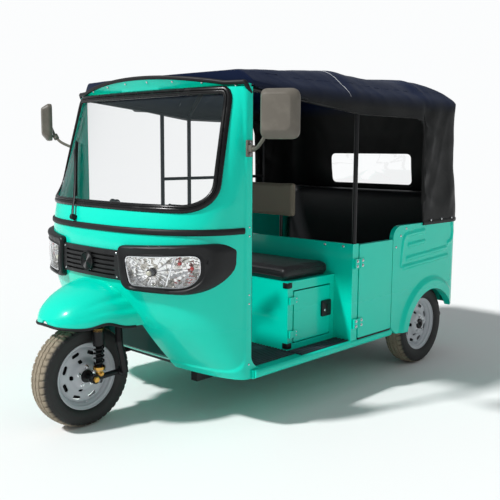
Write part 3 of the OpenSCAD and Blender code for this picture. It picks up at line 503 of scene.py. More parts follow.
def circle(radius, sides=12, tall=1.0):
    turns = full_turn(sides)
    return np.stack([radius * np.cos(turns), radius * tall * np.sin(turns)], 1)


def tube(path, radius, sides=12, closed=False):
    """A round bar along a line, with its ring turned as little as possible from point to point."""
    path = np.asarray(path, float)
    ahead = along(path, closed)
    out = [np.cross(ahead[0], (0.31, 0.17, 0.93))]
    for direction in ahead[1:]:
        out.append(out[-1] - out[-1].dot(direction) * direction)
    return sweep(path, unit(out), circle(radius, sides), closed)


def turned(profile, centre, axis=(1, 0, 0), segments=48):
    """A profile of (radius, distance along the axis) points turned round an axis."""
    axis = unit(axis)
    first = unit(np.cross(axis, (0.0, 0.0, 1.0) if abs(axis[2]) < 0.9 else (0.0, 1.0, 0.0)))
    second = np.cross(axis, first)
    turns = full_turn(segments)
    rows = [[centre + r * (math.cos(t) * first + math.sin(t) * second) + d * axis for t in turns]
            for r, d in profile]
    return sheet(rows, wrap=True, caps=True)


def smooth_line(points, steps=8):
    """A smooth line through a few points."""
    points = np.asarray(points, float)
    ends = np.vstack([2 * points[0] - points[1], points, 2 * points[-1] - points[-2]])
    t = np.linspace(0, 1, steps, endpoint=False)[:, None]
    line = []
    for a, b, c, d in zip(ends, ends[1:], ends[2:], ends[3:]):
        line.append(b + 0.5 * t * (c - a + t * (2 * a - 5 * b + 4 * c - d + t * (3 * (b - c) + d - a))))
    return np.vstack([*line, points[-1:]])


def rounded(corners, steps=8):
    """An outline from corners of (x, z, radius)."""
    outline, count = [], len(corners)
    flat = np.array([c[:2] for c in corners], float)
    for i, (corner, radius) in enumerate(zip(flat, [c[2] for c in corners])):
        before = unit(flat[i - 1] - corner)
        after = unit(flat[(i + 1) % count] - corner)
        half = math.acos(np.clip(before @ after, -1, 1)) / 2
        if radius <= 0 or half > 1.565:
            outline.append(corner)
            continue
        reach = radius / math.tan(half)
        for t in np.linspace(0, 1, steps + 1):
            start, end = corner + before * reach, corner + after * reach
            outline.append((1 - t) ** 2 * start + 2 * t * (1 - t) * corner + t * t * end)
    return np.array(outline)


def rounded_box(low, high, radius, steps=8):
    """A rectangle with rounded corners, from its lower and its upper corner."""
    corners = [(low[0], low[1]), (high[0], low[1]), (high[0], high[1]), (low[0], high[1])]
    return rounded([(*corner, radius) for corner in corners], steps)


def two_sided(half, middle=()):
    """A symmetrical profile from its left half and what lies on its middle line."""
    return half + list(middle) + [(-a, b) for a, b in half[::-1]]


def facing_side(outline, x, y=0.0, z=0.0, wide=1.0, tall=1.0):
    """An outline of (y, z) points, scaled and moved, in a plane that faces sideways."""
    return np.column_stack([np.full(len(outline), x), y + wide * outline[:, 0], z + tall * outline[:, 1]])


def spaced(line, count, ends=True):
    """Evenly spaced points along a line of two coordinates."""
    length = np.concatenate([[0], np.cumsum(np.linalg.norm(np.diff(line, axis=0), axis=1))])
    marks = np.linspace(0, length[-1], count, endpoint=ends)
    return np.stack([np.interp(marks, length, line[:, k]) for k in (0, 1)], 1)


def evenly(outline, count):
    """The same closed outline with evenly spaced points."""
    return spaced(np.vstack([outline, outline[:1]]), count, ends=False)


def rays(outline, centre, count):
    """Distances from a centre to an outline, in evenly turned directions, and those directions."""
    fine = evenly(outline, 1200) - centre
    angles = np.unwrap(np.arctan2(fine[:, 1], fine[:, 0]))
    order = np.argsort(angles % (2 * math.pi))
    turns = full_turn(count)
    reach = np.interp(turns, (angles % (2 * math.pi))[order], np.linalg.norm(fine, axis=1)[order],
                      period=2 * math.pi)
    return reach, np.stack([np.cos(turns), np.sin(turns)], 1)


def grow(outline, margin):
    """The outline moved outward by a margin."""
    ahead = np.roll(outline, -1, 0) - np.roll(outline, 1, 0)
    normal = unit(np.stack([ahead[:, 1], -ahead[:, 0]], 1))
    turning = np.sum(outline[:, 0] * np.roll(outline[:, 1], -1) - np.roll(outline[:, 0], -1) * outline[:, 1])
    return outline + margin * normal * np.sign(turning)


def ease(value, low, high):
    """0 below low, 1 above high and smooth between."""
    t = np.clip((np.asarray(value, float) - low) / (high - low), 0, 1)
    return t * t * (3 - 2 * t)


# %% [markdown]
# A piece becomes an object in one place, which also says what it rides on and which node it stands for.
# Edges sharper than a limit stay crisp.

# %% Make a piece
def new_mesh(name, shape, weld=0.0):
    """A mesh with its faces turned outward; points nearer than weld become one."""
    points, faces = shape
    mesh = bpy.data.meshes.new(name)
    mesh.from_pydata([tuple(p) for p in points], [], faces)
    rework(mesh, weld)
    return mesh


def rework(mesh, weld=0.0, fill=False):
    """Joins near points, closes open ends if asked, and turns every face outward."""
    work = bmesh.new()
    work.from_mesh(mesh)
    if weld:
        bmesh.ops.remove_doubles(work, verts=work.verts, dist=weld)
    if fill:
        bmesh.ops.holes_fill(work, edges=work.edges, sides=0)
    bmesh.ops.recalc_face_normals(work, faces=work.faces)
    work.to_mesh(mesh)
    work.free()


def linked(name, data):
    """A new object in the scene."""
    made = bpy.data.objects.new(name, data)
    bpy.context.scene.collection.objects.link(made)
    return made


def piece(name, body, finish, shape, stands_for=(), crisp=35):
    mesh = new_mesh(name, shape, weld=1e-6)
    mesh.materials.append(finish)
    made = linked(name, mesh)
    shade(made, crisp)
    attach(made, body)
    if stands_for:
        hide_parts(*stands_for)
    print(f"{name}: {len(mesh.polygons)} faces on {body}")
    return made


def shade(made, crisp):
    made.data.polygons.foreach_set("use_smooth", [True] * len(made.data.polygons))
    made.data.set_sharp_from_angle(angle=math.radians(crisp))


def settle(made):
    """Turns a piece's modifiers into its mesh."""
    made.data = bpy.data.meshes.new_from_object(made.evaluated_get(bpy.context.evaluated_depsgraph_get()))
    made.modifiers.clear()


def cut_shape(made, shape):
    """Cuts a closed shape out of a piece."""
    cutter = linked("cutter", new_mesh("cutter", shape))
    hole = made.modifiers.new("hole", "BOOLEAN")
    hole.object = cutter
    hole.solver = "EXACT"
    settle(made)
    bpy.data.objects.remove(cutter)


def cut_through(made, outline, near, far):
    """Cuts an outline of (x, z) points through a piece, from y = near to y = far."""
    rows = [[(x, y, z) for x, z in outline] for y in (near, far)]
    cut_shape(made, sheet(rows, wrap=True, caps=True))


def stud(place, normal, radius, height, sides=12):
    """A round-headed screw, rivet or press stud."""
    rise = [(1.0, 0.0), (1.0, 0.35), (0.86, 0.7), (0.5, 0.94), (0.05, 1.0)]
    return turned([(radius * r, height * d) for r, d in rise], np.asarray(place, float), normal, sides)


def hex_bolt(place, normal, radius, height):
    """A hexagon head on a washer."""
    place = np.asarray(place, float)
    washer = turned([(radius * 1.35, 0), (radius * 1.35, height * 0.2), (radius, height * 0.25)], place,
                    normal, 16)
    head = turned([(radius, height * 0.2), (radius, height * 0.85), (radius * 0.8, height)], place, normal, 6)
    return merged([washer, head])


# %% [markdown]
# ## The front shell
# The nose, the brow under the windscreen and the pillars are one pressed sheet. Its plan at every height
# is a squared ellipse, and a short table says how far the nose stands back and how square the plan is.
# The same rule places everything that is fixed to the shell: glass, seals, lamps and strips.

# %% The shell's rule
# Columns: height, distance of the nose behind the front plane, squareness of the plan
SECTIONS = np.array([
    (0.250, 0.300, 2.6), (0.350, 0.200, 2.5), (0.500, 0.080, 2.5), (0.600, 0.032, 2.5),
    (0.690, 0.002, 2.5), (0.780, -0.006, 2.5), (0.930, 0.005, 2.5), (1.000, 0.030, 2.6),
    (1.045, 0.056, 2.7), (1.300, 0.177, 2.5), (1.556, 0.292, 2.2)])


def section(z, column):
    """A column of the table at height z, on a smooth curve through its rows."""
    heights, values = SECTIONS[:, 0], SECTIONS[:, column]
    last = len(heights) - 1
    index = np.arange(last + 1)
    below, above = np.maximum(index - 1, 0), np.minimum(index + 1, last)
    slope = (values[above] - values[below]) / (heights[above] - heights[below])
    row = np.clip(np.searchsorted(heights, z, side="right") - 1, 0, last - 1)
    step = heights[row + 1] - heights[row]
    t = (z - heights[row]) / step
    return (values[row] * (1 + 2 * t) * (1 - t) ** 2 + slope[row] * step * t * (1 - t) ** 2
            + values[row + 1] * t * t * (3 - 2 * t) + slope[row + 1] * step * t * t * (t - 1))


def shell(u, z, out=0.0):
    """The shell's surface from u = -1 at the right pillar to 1 at the left, moved outward."""
    power = 2 / section(z, 2)
    nose = nose_y + section(z, 1) - out
    x = np.sign(u) * (shell_half + out) * np.abs(np.sin(math.pi / 2 * u)) ** power
    y = pillar_y - (pillar_y - nose) * np.abs(np.cos(math.pi / 2 * u)) ** power
    return np.stack(np.broadcast_arrays(x, y, z), -1)


def on_shell(x, z, out=0.0):
    """The shell's surface over a point (x, z) of the front view, moved outward."""
    x, z = np.broadcast_arrays(np.asarray(x, float), np.asarray(z, float))
    square = section(z, 2)
    nose = nose_y + section(z, 1) - out
    inside = np.clip(1 - (np.abs(x) / (shell_half + out)) ** square, 0, 1)
    return np.stack([x, pillar_y - (pillar_y - nose) * inside ** (1 / square), z], -1)


def shell_normal(x, z):
    step = 0.002
    across = on_shell(x + step, z) - on_shell(x - step, z)
    up = on_shell(x, z + step) - on_shell(x, z - step)
    return unit(np.cross(across, up))


screen_foot = 1.040
screen_head = 1.546
belt_z = 0.930
screen_outline = evenly(rounded([(-0.575, screen_foot, 0.095), (0.575, screen_foot, 0.095),
                                 (0.545, screen_head, 0.060), (-0.545, screen_head, 0.060)], 12), 240)
print("shell nose at the belt:", on_shell(0.0, belt_z).round(3))

# %% [markdown]
# The sheet ends in a raised rim along the doorway and the foot, which stiffens it and catches the light.
# The rim is a change of the same surface: near an edge the point moves outward a few millimetres. The
# screen, the wheel opening and the lamps are then cut through the closed sheet.

# %% Front shell
def rim_rise(points):
    """How far the rim stands out, from the distance to the doorway and to the foot."""
    back, up = pillar_y - points[..., 1], points[..., 2] - SECTIONS[0, 0]
    bend = 0.10
    corner = bend - np.hypot(bend - back, bend - up)
    edge = np.where((back < bend) & (up < bend), corner, np.minimum(back, up))
    return 0.008 * (1 - ease(edge, 0.030, 0.046))


# Corners of a lamp's lens: x, z, radius
LENS_CORNERS = [(0.258, 0.820, 0.024), (0.572, 0.836, 0.028), (0.580, 0.690, 0.092), (0.282, 0.690, 0.026)]


def front_shell():
    turns = np.concatenate([np.linspace(0, 0.95, 56, endpoint=False), np.linspace(0.95, 1, 14)])
    turns = np.concatenate([-turns[:0:-1], turns])
    foot, bend, head = SECTIONS[0, 0], 0.360, SECTIONS[-1, 0]
    heights = np.concatenate([np.linspace(foot, bend, 22, endpoint=False), np.linspace(bend, head, 110)])
    u, z = np.meshgrid(turns, heights)
    outer = shell(u, z, rim_rise(shell(u, z)))
    inner = shell(u, z, -0.014)
    rows = np.concatenate([outer, inner[:, ::-1]], axis=1)
    made = piece("front_shell_sheet", "body", teal_paint, sheet(rows, wrap=True, caps=False),
                 ["front_shell"])
    rework(made.data, fill=True)
    cut_through(made, screen_outline, nose_y - 0.1, pillar_y - 0.005)
    arch = rounded([(-0.246, 0.19, 0), (0.246, 0.19, 0), (0.246, 0.52, 0.12), (0.09, 0.64, 0.06),
                    (-0.09, 0.64, 0.06), (-0.246, 0.52, 0.12)], 10)
    cut_through(made, arch, nose_y - 0.1, pillar_y - 0.02)
    lamp_opening = rounded(LENS_CORNERS, 8)
    for side in (-1, 1):
        cut_through(made, lamp_opening * (side, 1), nose_y - 0.1, pillar_y - 0.10)
    shade(made, 32)


front_shell()

# %% [markdown]
# ## Windscreen
# The pane sits in a broad rubber seal whose round face throws one long highlight. The seal is a profile
# with a locking groove, swept round the opening with the shell's own normal as its outward direction.
# The pane is two smooth skins and a rim, because a faceted pane breaks up what it reflects.

# %% Seal and pane
def disc_plate(outline, centre, place_front, place_back, rings=10):
    """A thin closed plate inside an outline, from two functions that place its front and its back."""
    shares = np.linspace(1, 0, rings)
    flat = [centre + share * (outline - centre) for share in shares]
    front = [place_front(ring) for ring in flat]
    back = [place_back(ring) for ring in flat]
    return merged([sheet(front, wrap=True), sheet(back, wrap=True), sheet([front[0], back[0]], wrap=True)])


seal_line = grow(screen_outline, 0.011)
seal_line[:, 1] = np.minimum(seal_line[:, 1], 1.541)
seal_profile = [(-0.019, 0.0), (-0.0185, 0.006), (-0.014, 0.011), (-0.007, 0.013), (-0.0035, 0.0115),
                (-0.002, 0.008), (0.0, 0.0115), (0.006, 0.0125), (0.013, 0.010), (0.0185, 0.005),
                (0.019, 0.0)]
piece("windscreen_seal", "body", seal_rubber,
      sweep(on_shell(*seal_line.T), shell_normal(*seal_line.T), seal_profile, closed=True),
      ["windscreen_gasket"], crisp=50)
piece("windscreen_pane", "body", screen_glass,
      disc_plate(screen_outline, np.array([0.0, 1.30]), lambda ring: on_shell(*ring.T, -0.004),
                 lambda ring: on_shell(*ring.T, -0.009)), ["windscreen_glass"])

# %% [markdown]
# A half-round rubber strip runs round the nose at belt height, and a black binding covers the sheet's raw
# edge along each doorway. Both are sweeps: the strip along the shell, the binding straight up the pillar.

# %% Belt strip and doorway bindings
def belt_strip():
    turns = np.linspace(-0.963, 0.963, 150)
    line = shell(turns, np.full_like(turns, belt_z))
    normal = shell_normal(line[:, 0], line[:, 2])
    profile = two_sided([(-0.014, 0.0), (-0.0135, 0.005), (-0.009, 0.0085)], [(0.0, 0.0095)])
    return sweep(line, normal, profile)


def doorway_binding(side):
    heights = np.linspace(0.262, 1.548, 40)
    line = [(side * (shell_half - 0.001), pillar_y + 0.002, z) for z in heights]
    return sweep(line, (0, 1, 0), circle(0.0075, 10, 0.8))


piece("belt_strip", "body", trim_rubber, belt_strip(), ["belt_trim"], crisp=50)
piece("doorway_bindings", "body", trim_rubber, each_side(doorway_binding))

# %% [markdown]
# ## Roof edge
# Over the screen a teal band carries the roof's front edge: black piping lies along its top, and a row of
# bright rivets holds the cloth. The band is made further below; two arcs place all three, one in plan
# and one for the crown.

# %% Piping and rivets
header_y = front_axle_y + 0.348
header_plan_radius = 1.8
header_crown_radius = 3.3
header_foot = 1.5563


def header_front(x):
    return header_y + header_plan_radius - np.sqrt(header_plan_radius ** 2 - x * x)


def header_top(x):
    return 1.612 - header_crown_radius + np.sqrt(header_crown_radius ** 2 - x * x)


def roof_piping():
    x = np.linspace(-0.618, 0.618, 80)
    over = np.stack([x, header_front(x) - 0.008, np.maximum(header_top(x), 1.570) + 0.004], 1)
    end = over[-1]
    down = np.array([end + (0.004, 0.010, -0.018), end + (0.006, 0.030, -0.045)])
    flip = down[::-1] * (-1, 1, 1)
    return tube(smooth_line(np.vstack([flip, over, down]), 2), 0.0105, 12)


def rivet(x):
    z = header_foot + 0.72 * (header_top(x) - header_foot)
    return stud((x, header_front(x) - 0.0068, z), (0, -1, -0.5), 0.0055, 0.004)


rivets = [rivet(x) for x in np.linspace(-0.575, 0.575, 8)]
piece("roof_piping", "body", trim_rubber, roof_piping(), crisp=60)
piece("roof_rivets", "body", bright_zinc, merged(rivets))

# %% [markdown]
# ## Lamps
# Each lamp is a black moulded surround, a fluted chrome reflector with two bowls, and a clear cover. All
# three share one set of rays from the lamp's middle, so their edges fit. The surround is a ring of
# offsets between the outer outline and the lens; the reflector is the deeper of two bowls, with flutes
# round each bulb, and a ridge forms by itself where the bowls meet. A chrome bar divides the bowls.

# %% Lamp outlines
lamp_middle = np.array([0.400, 0.760])
ray_count = 160
surround_corners = [(0.214, 0.864, 0.030), (0.608, 0.884, 0.030), (0.6210, 0.850, 0.035),
                    (0.6200, 0.660, 0.125), (0.232, 0.664, 0.050)]
surround_reach, lamp_rays = rays(rounded(surround_corners, 10), lamp_middle, ray_count)
lens_reach, _ = rays(rounded(LENS_CORNERS, 10), lamp_middle, ray_count)


def lamp_flat(reach):
    """Points of the front view at a distance from the lamp's middle along each ray."""
    return lamp_middle + reach[:, None] * lamp_rays


def lamp_ring(reach, out):
    return on_shell(*lamp_flat(reach).T, out)


# %% [markdown]
# The surround is a moulding with a round lip outside, a dished face and a thin lip at the lens. It could
# be a swept profile, but its width changes all the way round, so it is built as rings between the two
# outlines.

# %% Surrounds
def surround():
    """Rings of (inset, outward): round outer lip, dished face, lip at the lens."""
    outer_lip = [(0.000, 0.0005), (0.000, 0.013), (0.003, 0.022), (0.009, 0.0275), (0.018, 0.0295),
                 (0.026, 0.027)]
    made = [lamp_ring(surround_reach - inset, out) for inset, out in outer_lip]
    for share in (0.35, 0.6, 0.8):
        between = (surround_reach - 0.026) * (1 - share) + (lens_reach + 0.008) * share
        made.append(lamp_ring(between, 0.027 - 0.006 * share))
    for outset, out in [(0.008, 0.022), (0.005, 0.025), (0.002, 0.0245), (0.0005, 0.020), (0.0005, 0.001)]:
        made.append(lamp_ring(lens_reach + outset, out))
    return sheet(made, wrap=True)


def drain_hole():
    """The small round hole near the surround's outer end."""
    place, normal = on_shell(0.598, 0.806, 0.0262), shell_normal(0.598, 0.806)
    edge = [(0.013, -0.004), (0.013, 0.0005), (0.0105, 0.002), (0.009, 0.0005), (0.009, -0.003)]
    return turned(edge, place, normal, 28)


piece("lamp_surrounds", "body", black_plastic, both_sides(merged([surround(), drain_hole()])),
      ["lamp_bezels"], crisp=40)

# %% [markdown]
# The reflector is pressed and chromed, in steps and flutes that spread the light. Its depth is a formula
# of the distance and direction from each bulb, which is easier to change than a carved mesh. Bulbs and
# their rings are turned profiles, and the cover is a thin domed sheet over the same rays.

# %% Reflectors, bulbs and covers
main_bulb = np.array([0.352, 0.747])
side_bulb = np.array([0.520, 0.772])


def bowl_depth(flat):
    """How far out the reflector stands at a point of the front view."""
    bowls = []
    for bulb, size, flutes in [(main_bulb, 0.105, 22), (side_bulb, 0.066, 14)]:
        away = flat - bulb
        share = np.linalg.norm(away, axis=-1) / size
        turn = np.arctan2(away[..., 1], away[..., 0])
        step = np.round(share * 5) / 5
        ripple = 0.0035 * np.abs(np.sin(turn * flutes / 2)) * np.minimum(share, 1)
        bowls.append(-0.034 + 0.030 * (0.45 * share + 0.55 * step) ** 1.6 + ripple)
    return np.minimum(np.minimum(*bowls), 0.011)


def reflector():
    rings = [lamp_ring(lens_reach - 0.001, 0.018)]
    for share in np.linspace(1, 0, 47):
        flat = lamp_flat(share * (lens_reach - 0.001))
        rings.append(on_shell(*flat.T, bowl_depth(flat)))
    return sheet(rings, wrap=True)


def cover():
    shares = np.linspace(1, 0, 14)
    return sheet([lamp_ring(share * lens_reach, 0.0185 + 0.004 * (1 - share ** 4)) for share in shares],
                 wrap=True)


def lens_rim():
    flat = lamp_flat(lens_reach - 0.003)
    return sweep(on_shell(*flat.T, 0.019), shell_normal(*flat.T), circle(0.0035, 8), closed=True)


def bulb(flat, radius, length):
    """A round glass bulb standing out of the reflector."""
    place = on_shell(flat[0], flat[1], -0.030)
    rise = [(0.55, 0.0), (0.6, 0.35), (1.0, 0.6), (0.92, 0.85), (0.5, 0.98), (0.04, 1.0)]
    return turned([(radius * r, length * d) for r, d in rise], place, shell_normal(*flat), 20)


def bulb_ring(flat, radius):
    place = on_shell(flat[0], flat[1], -0.026)
    return turned([(radius, 0.0), (radius, 0.010), (radius * 0.8, 0.012), (radius * 0.7, 0.004)], place,
                  shell_normal(*flat), 28)


piece("lamp_reflectors", "body", reflector_chrome, both_sides(reflector()), ["headlamps"],
      crisp=12)
bar = np.linspace((0.446, 0.696), (0.487, 0.826), 12)
divider = tube(on_shell(*bar.T, 0.010), 0.0040, 8)
piece("lamp_rims", "body", chrome, both_sides(merged([lens_rim(), divider])))
piece("lamp_bulbs", "body", pale_lens, both_sides(bulb(main_bulb, 0.012, 0.034)))
piece("lamp_bulb_rings", "body", motor_paint, both_sides(bulb_ring(main_bulb, 0.018)))
red_bulbs = merged([bulb(np.array(place), 0.0095, 0.040) for place in [(0.475, 0.797), (0.512, 0.775)]])
piece("lamp_red_bulbs", "body", red_lens, both_sides(red_bulbs))
piece("lamp_covers", "body", lamp_glass, both_sides(cover()))

# %% [markdown]
# Between the lamps sits the slotted grille with a round horn behind it. The slots are already in the
# carried-over node. The horn's mesh cover is a turned plate of fine rings, and four small screws hold
# the panel.

# %% Horn cover and grille screws
def horn_cover():
    steps = np.linspace(0.040, 0.002, 30)
    rings = [(radius, 0.0012 * (index % 2) + 0.003 * (1 - (radius / 0.04) ** 2))
             for index, radius in enumerate(steps)]
    edge = [(0.046, -0.008), (0.046, 0.001), (0.0445, 0.0035), (0.0415, 0.0035)]
    return turned(edge + rings, np.array([0.0, nose_y - 0.0262, 0.772]), (0, -1, 0), 64)


screws = [stud(on_shell(x, z, 0.0138), shell_normal(x, z), 0.0052, 0.003)
          for x in (-0.203, 0.203) for z in (0.718, 0.826)]
flat_x, flat_z = np.meshgrid(np.linspace(-0.209, 0.209, 24), np.linspace(0.708, 0.835, 8))
piece("grille_back", "body", trim_rubber, sheet(on_shell(flat_x, flat_z, 0.002)))
piece("horn_cover", "body", black_plastic, horn_cover(), crisp=30)
piece("grille_screws", "body", bright_zinc, merged(screws))

# %% [markdown]
# ## Front mudguard
# A pressed hood over the wheel. Its sections come from a short table that is smoothed along the length;
# a step along the flank and a shallow valley above it are added as small moves of the same surface, and
# points that would pass into the shell stop just behind its face. A rubber binding runs round the lower
# edge.

# %% Mudguard
# Columns: distance behind the tip, half width, ridge height, lower edge height
GUARD_STATIONS = np.array([
    (0.026, 0.024, 0.528, 0.510), (0.038, 0.080, 0.548, 0.505), (0.072, 0.134, 0.588, 0.502),
    (0.118, 0.174, 0.622, 0.500), (0.165, 0.202, 0.646, 0.500), (0.225, 0.225, 0.670, 0.498),
    (0.290, 0.240, 0.688, 0.496), (0.380, 0.252, 0.704, 0.494)])
guard_tip_y = front_axle_y - 0.210


def guard_skin(inset):
    stations = smooth_line(GUARD_STATIONS, 8)
    turns = np.linspace(0, math.pi, 73)
    back, half, ridge, low = (stations[:, k, None] for k in range(4))
    rise = np.sin(turns)[None, :] ** 0.8
    lift = 0.022 * np.exp(-((back - 0.205) / 0.055) ** 2)
    grown = ease(back, 0.05, 0.30)
    step = 0.010 * grown * (1 - ease(rise, 0.31, 0.37))
    valley = 0.008 * grown * np.exp(-((rise - 0.66) / 0.07) ** 2)
    wide = half - inset + step - valley
    x = -wide * np.sign(np.cos(turns)) * np.abs(np.cos(turns)) ** 0.85
    z = low + lift * (1 - rise) ** 2 + (ridge - inset - low) * rise - valley * 0.6
    y = np.broadcast_to(guard_tip_y + back + inset, x.shape)
    stop = on_shell(x, z)[..., 1] + 0.002
    return np.stack([x, np.minimum(y, stop), z], -1)


guard_outside, guard_inside = guard_skin(0.0), guard_skin(0.006)
guard_rows = np.concatenate([guard_outside, guard_inside[:, ::-1]], axis=1)
piece("mudguard_hood", "body", teal_paint, sheet(guard_rows, wrap=True, caps=True),
      ["front_mudguard"], crisp=50)
guard_edge = np.vstack([guard_outside[::-1, 0], guard_outside[:, -1]]) - (0, 0, 0.003)
piece("mudguard_binding", "body", trim_rubber, tube(smooth_line(guard_edge[4:-4], 2), 0.0065, 10),
      crisp=60)

# %% [markdown]
# ## Wiper and mirrors
# The wiper is a pressed arm on a capped spindle, with a blade that carries a rubber lip. The mirrors are
# moulded shells on bent rods, clamped to the pillars by brackets with two bolts. A shell is lofted: one
# rounded outline, shrunk a little at each step of its depth.

# %% Wiper
def wiper_arm():
    bends = np.array([(-0.150, 0.965), (-0.215, 1.075), (-0.300, 1.190), (-0.385, 1.280)])
    line = smooth_line(bends, 8)
    path = on_shell(*line.T, np.linspace(0.018, 0.022, len(line)))
    strap = two_sided([(-0.007, -0.002), (-0.007, 0.002), (-0.004, 0.004)])
    spindle = turned([(0.014, -0.016), (0.014, 0.004), (0.011, 0.010), (0.004, 0.012)], path[0],
                     shell_normal(*bends[0]), 24)
    return merged([sweep(path, shell_normal(*line.T), strap), spindle])


def wiper_blade():
    ends = np.array([(-0.205, 1.060), (-0.318, 1.196), (-0.425, 1.322)])
    line = smooth_line(ends, 10)
    path = on_shell(*line.T, 0.011)
    lip = two_sided([(-0.004, 0.006), (-0.004, 0.0), (-0.001, -0.002), (-0.001, -0.010)])
    return sweep(path, shell_normal(*line.T), lip)


piece("wiper_arm", "body", black_plastic, merged([wiper_arm(), wiper_blade()]), ["wiper"],
      crisp=40)

# %% [markdown]
# A mirror's shell could be a rounded box, but the real one tapers to a small raised face that sits off its
# middle. Rings of one outline, each with its own size, depth and shift, give that form.

# %% Mirrors
mirror_place = np.array([0.868, front_axle_y + 0.395, 1.430])
mirror_turn = math.radians(28)
mirror_foot_z = 1.290
mirror_outline = evenly(rounded([(-0.082, -0.102, 0.036), (0.082, -0.102, 0.036), (0.082, 0.102, 0.040),
                                 (-0.082, 0.102, 0.030)], 10), 96)


def mirror_frame(x, y, z):
    """From the mirror's own axes, where -y looks forward, to the vehicle's."""
    c, s = math.cos(mirror_turn), math.sin(mirror_turn)
    return mirror_place + np.stack(np.broadcast_arrays(c * x - s * y, s * x + c * y, z), -1)


def mirror_loft(steps):
    rings = []
    for share, depth, *shift in steps:
        ring = mirror_outline * share + (shift or (0, 0))
        rings.append(mirror_frame(ring[:, 0], depth, ring[:, 1]))
    return sheet(rings, wrap=True, caps=True)


def mirror_rod():
    """A bent rod with a clamp; its bends are noted for a front axle at noted_axle_y."""
    noted_axle_y = -1.0845
    bends = [(0.645, -0.6255, mirror_foot_z), (0.690, -0.6400, mirror_foot_z), (0.755, -0.676, 1.318),
             (0.793, -0.6895, 1.350), (0.815, -0.690, 1.375), (0.832, -0.692, 1.402)]
    clamp = turned([(0.013, -0.014), (0.015, -0.012), (0.015, 0.012), (0.013, 0.014)], np.array(bends[3]),
                   (0.4, -0.1, 0.6), 18)
    path = smooth_line([(x, y + front_axle_y - noted_axle_y, z) for x, y, z in bends], 6)
    return merged([tube(path, 0.0075, 12), clamp])


def mirror_bracket():
    """A bent plate on the pillar's rim, and the block that holds the rod."""
    profile = rounded_box((-0.018, -0.036), (0.018, 0.036), 0.004, 4)
    plate = [facing_side(profile, x, pillar_y - 0.025, mirror_foot_z, share, share)
             for x, share in [(0.6335, 1.0), (0.640, 1.0), (0.6425, 0.93)]]
    block = [facing_side(profile, x, pillar_y - 0.027, mirror_foot_z, 0.62, 0.40) for x in (0.640, 0.663)]
    return merged([sheet(plate, wrap=True, caps=True), sheet(block, wrap=True, caps=True)])


def mirror(side, name):
    flip = (lambda shape: shape) if side > 0 else mirrored
    raised = (-0.010, 0.006)
    edge = [(0.955, 0.018), (0.985, 0.017), (1.0, 0.010), (1.0, 0.002), (0.99, -0.004), (0.965, -0.008)]
    face = [(0.74, -0.0335), (0.71, -0.0345), (0.68, -0.035), (0.30, -0.036), (0.02, -0.0362)]
    outside = mirror_loft(edge + [(share, depth, *raised) for share, depth in face])
    body = merged([outside, mirror_rod(), mirror_bracket()])
    piece(f"{name}_shell", "body", mirror_plastic, flip(body), [name], crisp=40)
    glass = mirror_loft([(0.93, 0.0175), (0.93, 0.0190), (0.90, 0.0195), (0.02, 0.0196)])
    piece(f"{name}_glass", "body", chrome, flip(glass))
    bolts = [hex_bolt((0.6425, pillar_y - 0.025, mirror_foot_z + rise), (1, 0, 0), 0.0065, 0.007)
             for rise in (-0.024, 0.024)]
    piece(f"{name}_bolts", "body", bare_steel, flip(merged(bolts)))


mirror(1, "mirror_left")
mirror(-1, "mirror_right")

# %% [markdown]
# ## Canopy
# The roof and the rear curtain are one piece of coated cloth over two tube bows. It could be draped by a
# simulation, but the bows, the header and the hem already fix its form, so it is built as one sheet:
# columns start at the hem all the way round, rise up the wall and run over the roof to the middle line.
# The height of the roof is the lower of two profiles, one along the vehicle and one across it. Sag
# between the bows and creases in the cloth are then moves of the same points along the surface's normal.
# The rear wall hangs slack, so it leans in a little between the rear bow and the hem.

# %% The roof's two profiles
mid_bow_y = front_axle_y + 1.254
rear_bow_y = rear_axle_y - 0.075
curtain_y = rear_axle_y - 0.130
canopy_rear_y = rear_y - 0.006
canopy_half = side_half + 0.002
hem_z = 0.8703
canopy_lean = 0.055
wall_rows = 30
along_profile = rounded([(header_y - 0.150, 1.606, 0), (pillar_y, 1.634, 0.20), (mid_bow_y, 1.712, 0.12),
                         (mid_bow_y + 0.33, 1.688, 0.90), (rear_bow_y, 1.718, 0.12),
                         (canopy_rear_y - 0.055, 1.630, 0.11), (canopy_rear_y, 1.400, 0.30),
                         (canopy_rear_y, 0.900, 0)], 14)[:-1]
across_profile = rounded([(-0.505, 1.690, 0), (0, 1.735, 1.5), (0.505, 1.690, 0.22),
                          (canopy_half, 1.560, 0.11), (canopy_half, 1.300, 0)], 14)[:-1]


def lower(a, b, blend):
    """The lower of two heights, with a rounded meeting."""
    near = np.maximum(blend - np.abs(a - b), 0) / blend
    return np.minimum(a, b) - near * near * blend / 4


def roof_height(x, y):
    lengthwise = np.interp(y, *along_profile.T)
    return lower(lengthwise, np.interp(np.abs(x), *across_profile.T), 0.016)


# %% [markdown]
# The cloth's edge is not level: it lies on the header in front, hangs as a valance over the doorways and
# drops to the tub as the rear curtain. One height for every column of the sheet says all three.

# %% Columns of the sheet
def canopy_edge():
    """The sheet's edge in plan, from the middle of the front round the left side to the back."""
    x = np.linspace(0, 0.630, 40)
    overhang = 0.0243
    front = header_y + header_plan_radius - np.sqrt((header_plan_radius - overhang) ** 2 - x * x)
    arc = np.stack([x, front], 1)
    side = rounded([(*arc[-1], 0), (canopy_half, -0.25, 0.30), (canopy_half, canopy_rear_y, 0.11),
                    (0, canopy_rear_y, 0)], 14)
    return spaced(np.vstack([arc[:-1], side]), 230)


